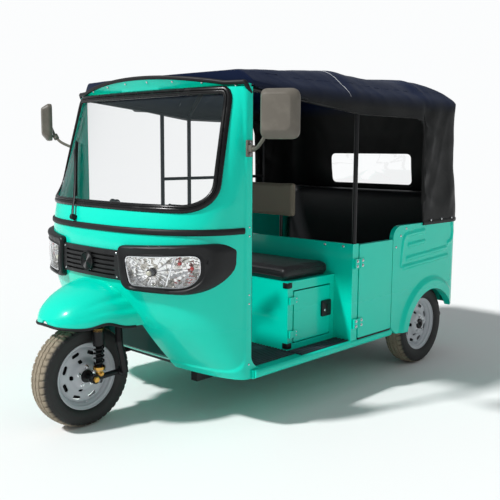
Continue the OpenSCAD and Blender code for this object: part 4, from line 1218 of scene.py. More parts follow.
left_edge = canopy_edge()
canopy_plan = np.vstack([left_edge, left_edge[-2:0:-1] * (-1, 1)])
edge_top = roof_height(*canopy_plan.T)
valance = np.interp(canopy_plan[:, 1],
                    [pillar_y, mid_bow_y, *(curtain_y + np.array([-0.090, -0.040, -0.012, 0.006]))],
                    [1.560, 1.468, 1.468, 1.455, 1.415, hem_z])
front_hem = np.maximum(header_top(canopy_plan[:, 0]), 1.572) - 0.004
canopy_hem = np.minimum(np.where(canopy_plan[:, 1] < pillar_y + 0.01, front_hem, valance), edge_top - 0.003)
spine = np.stack([np.zeros(len(canopy_plan)), np.clip(canopy_plan[:, 1], -0.45, 0.95)], 1)


def canopy_rows():
    """The smooth sheet, hem first, before it sags and creases."""
    rows = []
    for t in np.linspace(0, 1, wall_rows):
        rows.append(np.column_stack([canopy_plan, canopy_hem + t * (edge_top - canopy_hem)]))
    for t in np.linspace(0, 1, 50)[1:]:
        flat = canopy_plan + t ** 1.7 * (spine - canopy_plan)
        rows.append(np.column_stack([flat, roof_height(*flat.T)]))
    rows = np.array(rows)
    slack = ease(rows[..., 2], hem_z + 0.05, 1.25) * ease(rows[..., 1], rear_bow_y, canopy_rear_y)
    rows[..., 1] -= canopy_lean * slack
    return rows


def creases(a, b, seed, size):
    """Soft ridges in many directions, about 0 to 1."""
    random = np.random.default_rng(seed)
    total = np.zeros_like(a)
    for _ in range(7):
        turn, phase = random.uniform(0, math.pi), random.uniform(0, 6.3)
        length = size * random.uniform(0.6, 1.4)
        u, v = a * math.cos(turn) + b * math.sin(turn), b * math.cos(turn) - a * math.sin(turn)
        total += (1 - np.abs(np.sin(math.pi * u / length + phase
                                    + 0.8 * np.sin(2.1 * v / length + 2 * phase)))) ** 2
    return total / 2.6


# %% [markdown]
# Cloth is tight over a bow and loose between two. Each effect is one term: a hollow at the shoulder, broad
# and fine creases on the roof, folds at the curtain's front edge and a wave in the valance. The moves are
# small and capped, so the sheet stays on its frame.

# %% Sag, folds and creases
def sheet_normals(rows):
    down = np.gradient(rows, axis=0)
    across = np.roll(rows, -1, 1) - np.roll(rows, 1, 1)
    normal = np.cross(across, down)
    normal[np.linalg.norm(normal, axis=-1) < 1e-10] = (0, 0, 1)
    normal = unit(normal)
    outward = rows - (0, 0.2, 0.9)
    return normal * np.sign((normal * outward).sum(-1, keepdims=True))


def canopy_moves(rows):
    """How far each point stands off the smooth sheet."""
    x, y, z = rows[..., 0], rows[..., 1], rows[..., 2]
    hold = sum(np.exp(-((y - place) / reach) ** 2)
               for place, reach in [(mid_bow_y, 0.06), (rear_bow_y, 0.06), (header_y, 0.12)])
    free = 1 - np.clip(hold, 0, 1)
    roof = ease(z, 1.47, 1.60)
    shoulder = np.exp(-((np.abs(x) - 0.50) / 0.16) ** 2)
    between = free * ease(y, pillar_y, 0.0) * (1 - ease(y, rear_bow_y, rear_bow_y + 0.1))
    move = roof * between * (-0.012 * shoulder + 0.007 * (creases(x, 0.5 * y, 4, 0.55) - 0.7))
    move += roof * 0.0035 * free * (creases(x, y, 11, 0.26) - 0.6)
    hanging = (1 - roof) * ease(y, curtain_y - 0.03, curtain_y + 0.02)
    front = np.exp(-np.maximum(y - curtain_y, 0) / 0.10) * (np.abs(x) > 0.5)
    pull = ease(z, hem_z + 0.01, hem_z + 0.16)
    move += hanging * pull * front * 0.012 * np.sin(19 * z + 26 * (y - curtain_y) + 1.2 * np.sin(31 * z))
    move += hanging * pull * 0.010 * (creases(y + np.abs(x) * 0.8, 0.55 * z, 21, 0.30) - 0.75)
    valance_part = (1 - roof) * (1 - ease(y, curtain_y - 0.05, curtain_y))
    move += valance_part * 0.003 * np.sin(17 * y + 0.8)
    return np.clip(move, -0.016, 0.010)


smooth_canopy = canopy_rows()
canopy_grid = smooth_canopy + canopy_moves(smooth_canopy)[..., None] * sheet_normals(smooth_canopy)


def surface_area(rows):
    a = np.linalg.norm(np.cross(rows[1:] - rows[:-1], np.roll(rows[:-1], -1, 1) - rows[:-1]), axis=-1)
    return float(a.sum())


canopy_cut = surface_area(smooth_canopy)
print("cloth in the canopy:", round(canopy_cut, 2), "square metres")

# %% [markdown]
# The sheet gets the thickness of coated cloth, and the rear window is cut out of it. The cut comes last,
# because a hole in the grid of columns would be harder to keep track of.

# %% Make the canopy
window_outline = evenly(rounded_box((-0.325, 1.060), (0.325, 1.270), 0.040, 8), 120)
canopy_cloth = piece("canopy_cloth", "body", roof_vinyl, sheet(canopy_grid, wrap=True), ["canopy"],
                     crisp=70)
thick = canopy_cloth.modifiers.new("cloth", "SOLIDIFY")
thick.thickness, thick.offset = 0.003, 0.0
settle(canopy_cloth)
cut_through(canopy_cloth, window_outline, canopy_rear_y - canopy_lean - 0.06, canopy_rear_y + 0.06)
shade(canopy_cloth, 70)

# %% [markdown]
# The rear window is a clear film sewn behind the opening, with a border of the same cloth round it. The
# lower edge of the sheet is a sewn roll with press studs, the free edges are bound, and raised seams run
# over both bows and along both shoulders. A row of pale stitches follows the one at the middle bow.

# %% Window, hem, seams and studs
def on_canopy(x, y):
    """A point of the finished roof, from the nearest points of the sheet."""
    roof = canopy_grid[wall_rows:].reshape(-1, 3)
    near = np.argsort(np.hypot(roof[:, 0] - x, roof[:, 1] - y))[:4]
    weight = 1 / (np.hypot(roof[near, 0] - x, roof[near, 1] - y) + 0.002)
    return np.array([x, y, (roof[near, 2] * weight).sum() / weight.sum()])


def rear_wall(outline, out):
    """An outline of (x, z) points laid on the rear curtain."""
    wall = canopy_grid[:wall_rows].reshape(-1, 3)
    wall = wall[wall[:, 1] > canopy_rear_y - canopy_lean - 0.05]
    depth = [wall[np.argmin(np.hypot(wall[:, 0] - x, wall[:, 2] - z)), 1] for x, z in outline]
    smooth = np.convolve(np.concatenate([depth[-6:], depth, depth[:6]]), np.ones(13) / 13, "valid")
    return np.column_stack([outline[:, 0], smooth + out, outline[:, 1]])


window_line = rear_wall(grow(window_outline, 0.010), 0.003)
film_middle = window_line.mean(0)
film_rings = [film_middle + share * (window_line - film_middle) for share in (1.0, 0.5, 0.0)]
rear_film = piece("rear_window_film", "body", window_film, sheet(film_rings, wrap=True), crisp=80)
border_line = rear_wall(grow(window_outline, 0.006), 0.002)
border_profile = two_sided([(-0.011, -0.002), (-0.011, 0.0015), (-0.008, 0.003)])
window_border = piece("rear_window_border", "body", roof_vinyl,
                      sweep(border_line, (0, 1, 0), border_profile, closed=True))

hem_part = np.flatnonzero(canopy_plan[:, 1] > curtain_y + 0.006)
hem_line = canopy_grid[0][hem_part]
hem_outward = unit(sheet_normals(smooth_canopy)[4][hem_part] * (1, 1, 0))
roll = [(-0.018, -0.003), (-0.019, 0.002), (-0.014, 0.006), (-0.004, 0.0065), (0.004, 0.005), (0.005, -0.003)]
if hem_line[0, 0] > 0:
    roll = [(-a, b) for a, b in roll][::-1]
hem_roll = piece("canopy_hem", "body", roof_vinyl, sweep(hem_line + (0, 0, 0.004), hem_outward, roll),
                 crisp=60)
free_edges = []
for side in (-1, 1):
    x, y = canopy_plan.T
    edge = canopy_grid[0][(y > pillar_y + 0.02) & (y < curtain_y + 0.012) & (x * side > 0.3)]
    free_edges.append(tube(edge[np.argsort(edge[:, 1])], 0.0045, 8))
edge_binding = piece("canopy_binding", "body", roof_vinyl, merged(free_edges), crisp=60)

bow_x = np.linspace(-0.648, 0.648, 90)
shoulder_y = np.linspace(pillar_y + 0.04, canopy_rear_y - 0.10, 110)
seams = [tube([on_canopy(x, y) for x in bow_x], 0.0028, 6) for y in (mid_bow_y - 0.082, rear_bow_y)]
seams += [tube([on_canopy(x, y) for y in shoulder_y], 0.0025, 6) for x in (-0.575, 0.575)]
canopy_seams = piece("canopy_seams", "body", roof_vinyl, merged(seams), crisp=60)
stitches = tube([on_canopy(x, mid_bow_y - 0.070) + (0, 0, 0.002) for x in bow_x], 0.0022, 6)
canopy_stitches = piece("canopy_stitches", "body", thread, stitches, crisp=60)

hem_studs = [stud(hem_line[i] + hem_outward[i] * 0.006 + (0, 0, 0.012), hem_outward[i], 0.0065, 0.004)
             for i in range(6, len(hem_line) - 4, 9)]
studs = piece("canopy_studs", "body", bright_zinc, merged(hem_studs))

# %% [markdown]
# ## Tyres and wheels
# The tread has three zigzag grooves and notched shoulders. Both are moves of one turned grid: a point of
# the tread sinks where it lies in a groove. The pattern repeats a whole number of times round the tyre.

# %% Tyres
tyre_section = smooth_line(two_sided([(-0.0465, 0.1572), (-0.0555, 0.1680), (-0.0612, 0.1860),
                                      (-0.0618, 0.2030), (-0.0588, 0.2200), (-0.0500, 0.2325),
                                      (-0.0300, 0.2388)], [(0.0, 0.2408)]), 6)


def tread_depth(across, turn):
    """How deep the tread is cut at a place across the tyre and round it."""
    pitch = 46
    wave = np.abs((turn * pitch / (2 * math.pi)) % 1 - 0.5) * 2
    depth = np.zeros_like(across + turn)
    for groove in (-0.026, 0.0, 0.026):
        away = np.abs(across - groove - 0.004 * (wave - 0.5))
        depth = np.maximum(depth, 0.0055 * (1 - ease(away, 0.0016, 0.0036)))
    slant = (turn * pitch / (2 * math.pi) + 9.0 * np.abs(across)) % 1
    notch = 1 - ease(np.abs(slant - 0.5), 0.10, 0.18)
    off_middle = np.abs(across)
    outer = ease(off_middle, 0.034, 0.037) * (1 - ease(off_middle, 0.055, 0.058))
    sipe = (1 - ease(np.abs(slant - 0.5), 0.03, 0.07)) * ease(off_middle, 0.006, 0.008)
    sipe = sipe * (1 - ease(off_middle, 0.034, 0.036))
    return np.maximum(depth, np.maximum(0.0050 * notch * outer, 0.0030 * sipe))


def tyre(centre):
    """The section with a fine grid of points over its tread, turned round the axle and cut."""
    shoulder = 0.224
    tread = np.linspace(-0.056, 0.056, 70)
    half = len(tyre_section) // 2
    left, right = ([p for p in part if p[1] < shoulder]
                   for part in (tyre_section[:half], tyre_section[half:]))
    middle = tyre_section[tyre_section[:, 1] >= shoulder]
    top = np.column_stack([tread, np.interp(tread, *middle.T)])
    section_line = np.vstack([left, top, right])
    turns = full_turn(414)

    def round_axle(x, radius):
        return np.stack(np.broadcast_arrays(centre[0] + x, centre[1] + radius * np.cos(turns),
                                            centre[2] + radius * np.sin(turns)), -1)

    x, r = section_line[:, 0][:, None], section_line[:, 1][:, None]
    cut = np.where(r > shoulder - 0.0005, tread_depth(x, turns[None, :]), 0.0)
    ribs = 0.0008 * sum(np.exp(-((r - place) / width) ** 2)
                        for place, width in [(0.1715, 0.0012), (0.1765, 0.0012), (0.212, 0.0015)])
    rows = round_axle(x + np.sign(x) * ribs, r - cut)
    inner = [round_axle(*place) for place in [(0.040, 0.160), (0.0, 0.165), (-0.040, 0.160)]]
    return sheet(np.vstack([rows, inner, rows[:1]]), wrap=True)


wheel_x = 0.5475
wheels = [("front", "front_wheel_body", (0.0, front_axle_y, tyre_radius), front_tyre_rubber, 1),
          ("rear_left", "rear_left_wheel_body", (wheel_x, rear_axle_y, tyre_radius), rear_tyre_rubber, 1),
          ("rear_right", "rear_right_wheel_body", (-wheel_x, rear_axle_y, tyre_radius), rear_tyre_rubber, -1)]
for name, body, centre, rubber, side in wheels:
    piece(f"{name}_tread", body, rubber, tyre(np.array(centre)), [f"{name}_tyre"], crisp=28)

# %% [markdown]
# The pressed wheel is a dished disc with a ring of round-ended slots, welded into a rolled rim. The disc
# is cut from a turned plate, the rim is one turned profile, and five chromed nuts hold the black hub. The
# brake drum shows through the slots.

# %% Wheels
def rim():
    """A rolled rim with two lips and a drop centre."""
    half = [(0.1560, 0.0490), (0.1575, 0.0475), (0.1570, 0.0440), (0.1535, 0.0425), (0.1480, 0.0410),
            (0.1445, 0.0370), (0.1430, 0.0290), (0.1380, 0.0250), (0.1340, 0.0180), (0.1300, 0.0080)]
    outside = half + [(r, -x) for r, x in half[::-1]]
    inside = [(r - 0.003, x) for r, x in outside[::-1]]
    return outside + inside


def wheel_disc():
    front = [(0.0300, 0.0415), (0.0520, 0.0415), (0.0580, 0.0400), (0.0640, 0.0350), (0.0700, 0.0270),
             (0.0770, 0.0200), (0.0850, 0.0172), (0.0950, 0.0178), (0.1050, 0.0190), (0.1150, 0.0186),
             (0.1230, 0.0160), (0.1300, 0.0110)]
    return front + [(r, x - 0.0035) for r, x in front[::-1]]


def turned_ring(profile, centre, side, segments=120):
    """A closed profile of (radius, distance along the axle) points turned into a ring."""
    turns = full_turn(segments)
    rows = [[centre + (d * side, r * math.cos(t), r * math.sin(t)) for t in turns]
            for r, d in profile + profile[:1]]
    return sheet(rows, wrap=True)


def wheel(name, body, centre, side):
    axis = (side, 0, 0)
    centre = np.array(centre)
    disc = piece(f"{name}_disc", body, wheel_paint, turned_ring(wheel_disc(), centre, side),
                 [f"{name}_wheel"], crisp=32)
    cutters = []
    for count, radius, long, wide in [(8, 0.1075, 0.0205, 0.0088), (5, 0.0715, 0.0105, 0.0068)]:
        slot = rounded_box((-long, -wide), (long, wide), wide * 0.95, 6)
        for k in range(count):
            turn = 2 * math.pi * (k + 0.5) / count
            c, s = math.cos(turn), math.sin(turn)
            ring = np.array([(radius * c - a * s + b * c, radius * s + a * c + b * s) for a, b in slot])
            cutters.append(sheet([centre + facing_side(ring, x) for x in (-0.06 * side, 0.06 * side)],
                                 wrap=True, caps=True))
    cut_shape(disc, merged(cutters))
    shade(disc, 32)
    piece(f"{name}_rim", body, wheel_paint, turned_ring(rim(), centre, side), crisp=30)
    cap = [(0.0300, 0.030), (0.0300, 0.0470), (0.0285, 0.0500), (0.0120, 0.0520), (0.0105, 0.0600),
           (0.0020, 0.0605)]
    barrel = [(0.0300, 0.030), (0.0420, 0.0300), (0.0420, -0.0440), (0.0300, -0.0460)]
    hub = [turned(profile, centre, axis, 40) for profile in (cap, barrel)]
    piece(f"{name}_hub", body, black_paint, merged(hub), crisp=30)
    drum = [(0.040, -0.040), (0.112, -0.040), (0.116, -0.036), (0.116, -0.004), (0.112, 0.0), (0.040, 0.002)]
    piece(f"{name}_drum", body, black_paint, turned(drum, centre, axis, 64), crisp=30)
    nuts = []
    for k in range(5):
        turn = 2 * math.pi * (k + 0.25) / 5
        spot = centre + (0.0412 * side, 0.0440 * math.cos(turn), 0.0440 * math.sin(turn))
        nuts += [hex_bolt(spot, axis, 0.0075, 0.012),
                 stud(spot + (0.011 * side, 0, 0), axis, 0.0038, 0.004, 8)]
    valve_line = [(0.012, 0.132), (0.030, 0.126), (0.044, 0.122)]
    valve = tube([centre + (x * side, 0.0, -r) for x, r in valve_line], 0.0035, 8)
    piece(f"{name}_nuts", body, chrome, merged(nuts + [valve]), crisp=30)


for name, body, centre, rubber, side in wheels:
    wheel(name, body, centre, side)

# %% [markdown]
# ## Front suspension
# Two coil springs stand over ribbed rubber boots, between plated cups. A coil is a round bar along a
# helix; a boot is a turned profile of ribs. All of it turns with the steering.

# %% Springs, boots and cups
spring_x, spring_y = 0.100, front_axle_y + 0.030
spring_low, spring_high = 0.289, 0.462


def spring_leg(side):
    turns = np.linspace(0, 7.5 * 2 * math.pi, 300)
    share = np.linspace(0, 1, 300)
    pitch = share + 0.035 * np.sin(2 * math.pi * share)
    helix = np.stack([side * spring_x + 0.0215 * np.cos(turns), spring_y + 0.0215 * np.sin(turns),
                      spring_low + (spring_high - spring_low) * pitch], 1)
    return tube(helix, 0.0041, 8)


def on_leg(profile, side, z=0.0, up=1, segments=32):
    """A profile turned round the axis of a spring leg."""
    return turned(profile, np.array([side * spring_x, spring_y, z]), (0, 0, up), segments)


def boot(side):
    heights = np.linspace(spring_low + 0.008, spring_high - 0.02, 60)
    ribs = [(0.0150 + 0.0022 * math.sin(h * 900), h) for h in heights]
    return on_leg(ribs, side, segments=28)


def cup(side, z, up):
    profile = [(0.006, -0.010), (0.026, -0.010), (0.0275, -0.006), (0.0275, 0.004), (0.0245, 0.005),
               (0.0240, -0.003), (0.006, -0.003)]
    return on_leg(profile, side, z, up)


def top_cover(side):
    """The plain upper tube that the spring slides into."""
    return on_leg([(0.0265, 0.398), (0.0275, 0.402), (0.0275, 0.470), (0.020, 0.476)], side)


def clevis(side):
    """The forked foot of the damper, with its bolt, and the nut on the spindle's end."""
    foot = on_leg([(0.012, 0.252), (0.017, 0.256), (0.017, 0.276), (0.012, 0.282)], side, segments=20)
    bolt = hex_bolt((side * (spring_x + 0.017), spring_y, 0.262), (side, 0, 0), 0.009, 0.010)
    nut = hex_bolt((side * (spring_x + 0.012), front_axle_y, tyre_radius), (side, 0, 0), 0.015, 0.016)
    return merged([foot, bolt, nut])


def cups(side):
    return merged([cup(side, spring_low, 1), cup(side, spring_high + 0.002, -1)])


piece("front_coils", "steering", black_paint, each_side(spring_leg), ["front_springs"],
      crisp=60)
piece("front_boots", "steering", trim_rubber, each_side(boot), crisp=60)
piece("front_top_covers", "steering", black_paint, each_side(top_cover), crisp=40)
piece("front_clevises", "steering", yellow_zinc, each_side(clevis))
piece("front_cups", "steering", yellow_zinc, each_side(cups))

# %% [markdown]
# ## Cushions
# The seats are foam in vinyl covers. A rounded block alone looks like wood, so each one is blown up a
# little by the cloth solver: it starts from a slightly smaller block, pressure swells it, and no point
# may move further than a cap. The underside stays flat on its board. Piping is sewn round afterwards,
# along the swollen surface.

# %% Stuff a pad
def block_shape(low, high):
    corners = [(x, y, z) for z in (low[2], high[2]) for x, y in
               ((low[0], low[1]), (high[0], low[1]), (high[0], high[1]), (low[0], high[1]))]
    return corners, [(3, 2, 1, 0), (4, 5, 6, 7), (0, 1, 5, 4), (1, 2, 6, 5), (2, 3, 7, 6), (3, 0, 4, 7)]


def vertices(made):
    flat = np.empty(len(made.data.vertices) * 3)
    made.data.vertices.foreach_get("co", flat)
    return flat.reshape(-1, 3)


def swell(made, cap):
    """Blows a closed mesh up like a stuffed cover; no point moves further than cap."""
    rest = vertices(made)
    cloth = made.modifiers.new("cover", "CLOTH")
    cloth.settings.quality = 4
    cloth.settings.use_pressure = True
    cloth.settings.uniform_pressure_force = 4.0
    cloth.settings.effector_weights.gravity = 0.0
    cloth.point_cache.frame_start, cloth.point_cache.frame_end = 1, 20
    for frame in range(1, 21):
        bpy.context.scene.frame_set(frame)
    settle(made)
    bpy.context.scene.frame_set(1)
    move = vertices(made) - rest
    length = np.maximum(np.linalg.norm(move, axis=1, keepdims=True), 1e-9)
    return rest + move * np.minimum(1, cap / length)


def stuffed(node, finish, corner, cap, voxel, flat_axis, flat_low):
    """A pad in the space of a node, flat on the side where it rests."""
    low, high = (np.array(c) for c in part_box(node))
    made = piece(f"{node}_pad", "body", finish, block_shape(low + 0.6 * cap, high - 0.6 * cap),
                 [node])
    round_off = made.modifiers.new("round", "BEVEL")
    round_off.width, round_off.segments = corner, 5
    settle(made)
    mesh_again = made.modifiers.new("cells", "REMESH")
    mesh_again.mode, mesh_again.voxel_size = "VOXEL", voxel
    settle(made)
    points = swell(made, cap)
    points = np.clip(points, low, high)
    seat_side = low[flat_axis] if flat_low else high[flat_axis]
    near = np.abs(points[:, flat_axis] - seat_side) < 0.9 * cap
    points[near, flat_axis] = seat_side
    made.data.vertices.foreach_set("co", points.ravel())
    shade(made, 70)
    print(f"{made.name}: {len(made.data.polygons)} faces after stuffing")
    return made


def sewn_round(made, node, corner, axis, level, radius):
    """Piping along a pad's surface, near its node's rounded outline at one level."""
    points = vertices(made)
    others = [k for k in range(3) if k != axis]
    low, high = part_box(node)
    outline = evenly(rounded_box([low[k] for k in others], [high[k] for k in others], corner, 8), 200)
    path = np.empty((len(outline), 3))
    for i, (a, b) in enumerate(outline):
        target = np.empty(3)
        target[others[0]], target[others[1]], target[axis] = a, b, level
        near = np.argsort(((points - target) ** 2).sum(1))[:4]
        path[i] = points[near].mean(0)
    wrapped = np.vstack([path[-4:], path, path[:4]])
    path = np.stack([np.convolve(wrapped[:, k], np.ones(9) / 9, "valid") for k in range(3)], 1)
    return tube(path, radius, 8, closed=True)


# %% [markdown]
# The driver sits on a thick pad with piping above and below and has a thin grey brown pad behind; the
# passengers share a bench. All four are stuffed by the same function, each with its own softness.

# %% Seats and backrests
driver_pad = stuffed("driver_cushion", seat_vinyl, 0.022, 0.010, 0.009, 2, True)
driver_back = stuffed("driver_backrest", pad_vinyl, 0.012, 0.006, 0.006, 1, False)
bench_pad = stuffed("passenger_cushion", seat_vinyl, 0.030, 0.014, 0.011, 2, True)
stuffed("passenger_backrest", seat_vinyl, 0.030, 0.014, 0.011, 1, False)
low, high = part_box("driver_cushion")
bench_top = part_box("passenger_cushion")[1].z
back_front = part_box("driver_backrest")[0].y
piping = [sewn_round(driver_pad, "driver_cushion", 0.030, 2, high.z - 0.014, 0.0038),
          sewn_round(driver_pad, "driver_cushion", 0.030, 2, low.z + 0.014, 0.0038),
          sewn_round(bench_pad, "passenger_cushion", 0.040, 2, bench_top - 0.020, 0.0042)]
piece("seat_piping", "body", seat_vinyl, merged(piping), crisp=60)
back_piping = sewn_round(driver_back, "driver_backrest", 0.034, 1, back_front + 0.010, 0.0032)
piece("backrest_piping", "body", pad_vinyl, back_piping, crisp=60)

# %% [markdown]
# ## Floor
# Ribbed rubber mats lie on the painted floor: one at the driver's feet, one at the passengers' and a strip
# beside the seat box. A mat is one profile of ribs drawn along its length.

# %% Floor mats
def ribbed_mat(x0, x1, y0, y1, z):
    count = int((x1 - x0) / 0.020)
    pitch = (x1 - x0) / count
    valley, top = 0.0025, 0.0055
    rib = [(0.0, valley), (0.35, valley), (0.45, top), (0.9, top)]
    profile = [(x0 + k * pitch + share * pitch, height) for k in range(count) for share, height in rib]
    profile += [(x1, valley), (x1, 0.0), (x0, 0.0)]
    rows = [[(x, y, z + h) for x, h in profile] for y in np.linspace(y0, y1, 3)]
    return sheet(rows, wrap=True, caps=True)


floor_z = 0.290
seat_box_y = front_axle_y + 0.8497
quarter_y = rear_axle_y - 0.420
mats = [ribbed_mat(-0.600, 0.600, pillar_y + 0.030, seat_box_y - 0.012, floor_z),
        ribbed_mat(0.545, 0.640, seat_box_y - 0.012, partition_y - 0.004, floor_z),
        ribbed_mat(-0.600, 0.600, partition_y + 0.060, quarter_y - 0.020, floor_z)]
piece("floor_mats", "body", floor_mat, merged(mats), crisp=30)

# %% [markdown]
# ## Roof header
# The band under the roof's front edge flares forward at its top, so it lies in its own shade. It is one
# strip of rows between its two edges, closed at the back, with a lip that reaches down onto the shell.

# %% Header band
def header_band():
    x = np.linspace(-0.624, 0.624, 100)
    foot, lip_z = header_foot, 1.552
    top = np.maximum(header_top(x), foot + 0.014)
    # How far behind the front arc, and the share of the height
    steps = [(0.024, 0.0), (0.016, 0.0), (0.013, 0.08), (0.004, 0.4), (-0.006, 0.72), (-0.015, 0.95),
             (-0.014, 1.0), (-0.008, 1.0), (0.024, 1.0)]
    rows = [np.column_stack([x, header_front(x) + back, foot + share * (top - foot)])
            for back, share in steps]
    lip = on_shell(np.clip(x, -0.600, 0.600), lip_z, -0.002)
    rows.insert(2, np.column_stack([x, np.minimum(lip[:, 1], rows[1][:, 1]), np.full_like(x, lip_z)]))
    return sheet(np.array(rows).transpose(1, 0, 2), wrap=True, caps=True)


piece("header_band", "body", teal_paint, header_band(), ["roof_header"], crisp=40)

# %% [markdown]
# ## Doors, box and side panels
# Small hardware tells the size of a panel: hinge bolts, the latch of the seat box with its button and
# lock, corner guards, press studs for the side curtains and the pillar's screws. Each rides on the body
# that its panel rides on, so hinge bolts on a door swing with it.

# %% Hinge bolts and studs
door_y = partition_y + 0.057
box_half = 0.535


def hinge_bolts(x, y):
    return merged([hex_bolt((x, y, z + up), (1, 0, 0), 0.0062, 0.005)
                   for z in (0.380, 0.700) for up in (-0.013, 0.013)])


door_bolts = hinge_bolts(side_half + 0.005, door_y + 0.024)
leaf_bolts = hinge_bolts(side_half + 0.009, partition_y + 0.028)
piece("door_bolts", "passenger_door", bright_zinc, door_bolts)
piece("leaf_bolts", "body", bright_zinc, leaf_bolts)
box_door_y = front_axle_y + 0.8897
box_screws = [stud((box_half + 0.007, box_door_y + 0.022, z + up), (1, 0, 0), 0.0042, 0.002)
              for z in (0.370, 0.540) for up in (-0.009, 0.009)]
piece("box_screws", "box_door", bright_zinc, merged(box_screws))
curtain_studs = [stud((x, partition_y, 0.788), (0, -1, 0), 0.0075, 0.004) for x in (0.470, 0.590)]
curtain_studs += [stud((side * side_half, quarter_y + back, z), (side, 0, 0), 0.0075, 0.004)
                  for side in (-1, 1) for back, z in [(0.030, 0.752), (0.075, 0.812), (0.130, 0.850)]]
curtain_studs += [stud((side * (shell_half + 0.008), pillar_y - 0.016, z), (side, 0, 0), 0.0048, 0.003)
                  for side in (-1, 1) for z in (0.945, 0.905, 0.640, 0.600, 0.320)]
piece("curtain_studs", "body", bright_zinc, merged(curtain_studs))

# %% [markdown]
# The seat box closes with a moulded latch: a plate with a raised button and a lock beside it. Black strips
# guard the box's front corners; each is one profile swept round the corner.

# %% Latch and corner guards
def rounded_plate(y, z, half_y, half_z, x0, x1, corner):
    """A plate on a panel that faces sideways, with a softened outer edge."""
    outline = rounded_box((-half_y, -half_z), (half_y, half_z), corner, 6)
    rings = [facing_side(outline, x, y, z, share, share)
             for x, share in [(x0, 1.0), (x1 - 0.002, 1.0), (x1, 0.93)]]
    return sheet(rings, wrap=True, caps=True)


latch_y, latch_z = partition_y - 0.077, 0.465
latch = [rounded_plate(latch_y, latch_z, 0.038, 0.042, box_half + 0.003, box_half + 0.015, 0.008),
         rounded_plate(latch_y + 0.012, latch_z, 0.014, 0.024, box_half + 0.014, box_half + 0.019, 0.005)]
piece("box_latch", "box_door", black_plastic, merged(latch), crisp=40)
lock = stud((box_half + 0.015, latch_y - 0.020, latch_z - 0.008), (1, 0, 0), 0.0075, 0.005, 20)
piece("box_lock", "box_door", bright_zinc, lock)


def corner_guard(side, z):
    """A bent strip round a front corner of the seat box."""
    x, y = side * box_half, seat_box_y
    line = smooth_line([(x - side * 0.030, y, z), (x - side * 0.006, y, z), (x, y + 0.006, z),
                        (x, y + 0.030, z)], 5)
    outward = np.linspace(0, math.pi / 2, len(line))
    normal = np.stack([side * np.sin(outward), -np.cos(outward), np.zeros(len(line))], 1)
    return sweep(line, normal, two_sided([(-0.014, 0.0), (-0.014, 0.002), (-0.012, 0.003)]))


guards = [corner_guard(side, z) for side in (-1, 1) for z in (0.618, 0.310)]
piece("box_corner_guards", "body", black_plastic, merged(guards), crisp=40)

# %% [markdown]
# ## Rear
# The rear lamps are moulded in red with a strip of amber, behind fine ribs. The ribs are part of the
# mesh, because they catch the light from the side.

# %% Rear lamps
def rear_lens(x0, x1, z0, z1):
    """A ribbed lens with rounded shoulders, on the rear panel."""
    x = np.linspace(x0, x1, 60)
    z = np.linspace(z0, z1, 56)
    grid_x, grid_z = np.meshgrid(x, z)
    edge = np.minimum(np.minimum(grid_x - x0, x1 - grid_x), np.minimum(grid_z - z0, z1 - grid_z))
    ribs = 0.0009 * np.abs(np.sin(grid_z * 520)) * ease(edge, 0.006, 0.012)
    depth = 0.018 * np.sqrt(ease(edge, -0.001, 0.014)) + ribs
    front = np.stack([grid_x, rear_y + depth, grid_z], -1)
    return sheet(front)


def lamp_frame(x0, x1, z0, z1):
    line = [(x, rear_y + 0.0005, z) for x, z in evenly(rounded_box((x0, z0), (x1, z1), 0.014, 6), 80)]
    return sweep(line, (0, 1, 0), two_sided([(-0.005, 0.0), (-0.005, 0.008), (-0.003, 0.010)]), closed=True)


lamp_low, lamp_high = 0.394, 0.460
red_part = both_sides(rear_lens(0.395, 0.476, lamp_low, lamp_high))
amber_part = both_sides(rear_lens(0.476, 0.515, lamp_low, lamp_high))
lamp_frames = both_sides(lamp_frame(0.393, 0.517, lamp_low - 0.002, lamp_high + 0.002))
piece("rear_lamp_red", "body", red_lens, red_part, ["tail_lamps"], crisp=30)
piece("rear_lamp_amber", "body", amber_lens, amber_part, crisp=30)
piece("rear_lamp_frames", "body", black_plastic, lamp_frames, crisp=40)

# %% [markdown]
# ## Handlebar
# The bar carries ribbed rubber grips and two hand levers on clamps. The grips are turned along the bar's
# last length; a lever is a flat bar that bends round in front of the grip.

# %% Grips and levers
bar_setback, bar_radius = 0.160, 0.011
bar_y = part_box("handlebar")[1].y - bar_setback - bar_radius


def grip(side):
    start = np.array([side * 0.205, bar_y + 0.1025, 1.0145])
    end = np.array([side * 0.320, bar_y + bar_setback, 1.010])
    axis = unit(end - start)
    length = float(np.linalg.norm(end - start))
    marks = np.linspace(0, 1, 40)
    ribs = [(0.0140 + 0.0012 * (k % 2), m * length) for k, m in enumerate(marks)]
    flange = [(0.017, -0.002), (0.017, 0.003)]
    end_cap = [(0.0165, length - 0.002), (0.0165, length + 0.003), (0.008, length + 0.004)]
    return turned(flange + ribs[2:] + end_cap, start, axis, 24)


def lever(side):
    bends = np.array([(0.175, 0.080, 1.012), (0.189, 0.070, 1.008), (0.218, 0.082, 1.004),
                      (0.246, 0.097, 1.002), (0.258, 0.104, 1.004)])
    path = smooth_line(bends * (side, 1, 1) + (0, bar_y, 0), 6)
    return sweep(path, (0, 0, 1), two_sided([(-0.006, -0.003), (-0.006, 0.003)]))


piece("bar_grips", "steering", trim_rubber, each_side(grip), crisp=30)
piece("bar_levers", "steering", bare_steel, each_side(lever), crisp=40)

# %% [markdown]
# ## Rear quarters
# Each quarter is one pressing that turns the rear corner: stiffening beads, a broad flare round the wheel
# arch and a round hump at the front. It is a sheet of columns between a lower and an upper edge, and the
# beads and the flare are distances from lines and from the arch's middle, turned into outward moves.

# %% Edges and pressings of a quarter
arch_radius = 0.268
arch_z = tyre_radius - 0.040
corner_radius = 0.110
tub_low = 0.334
straight = rear_y - corner_radius - quarter_y
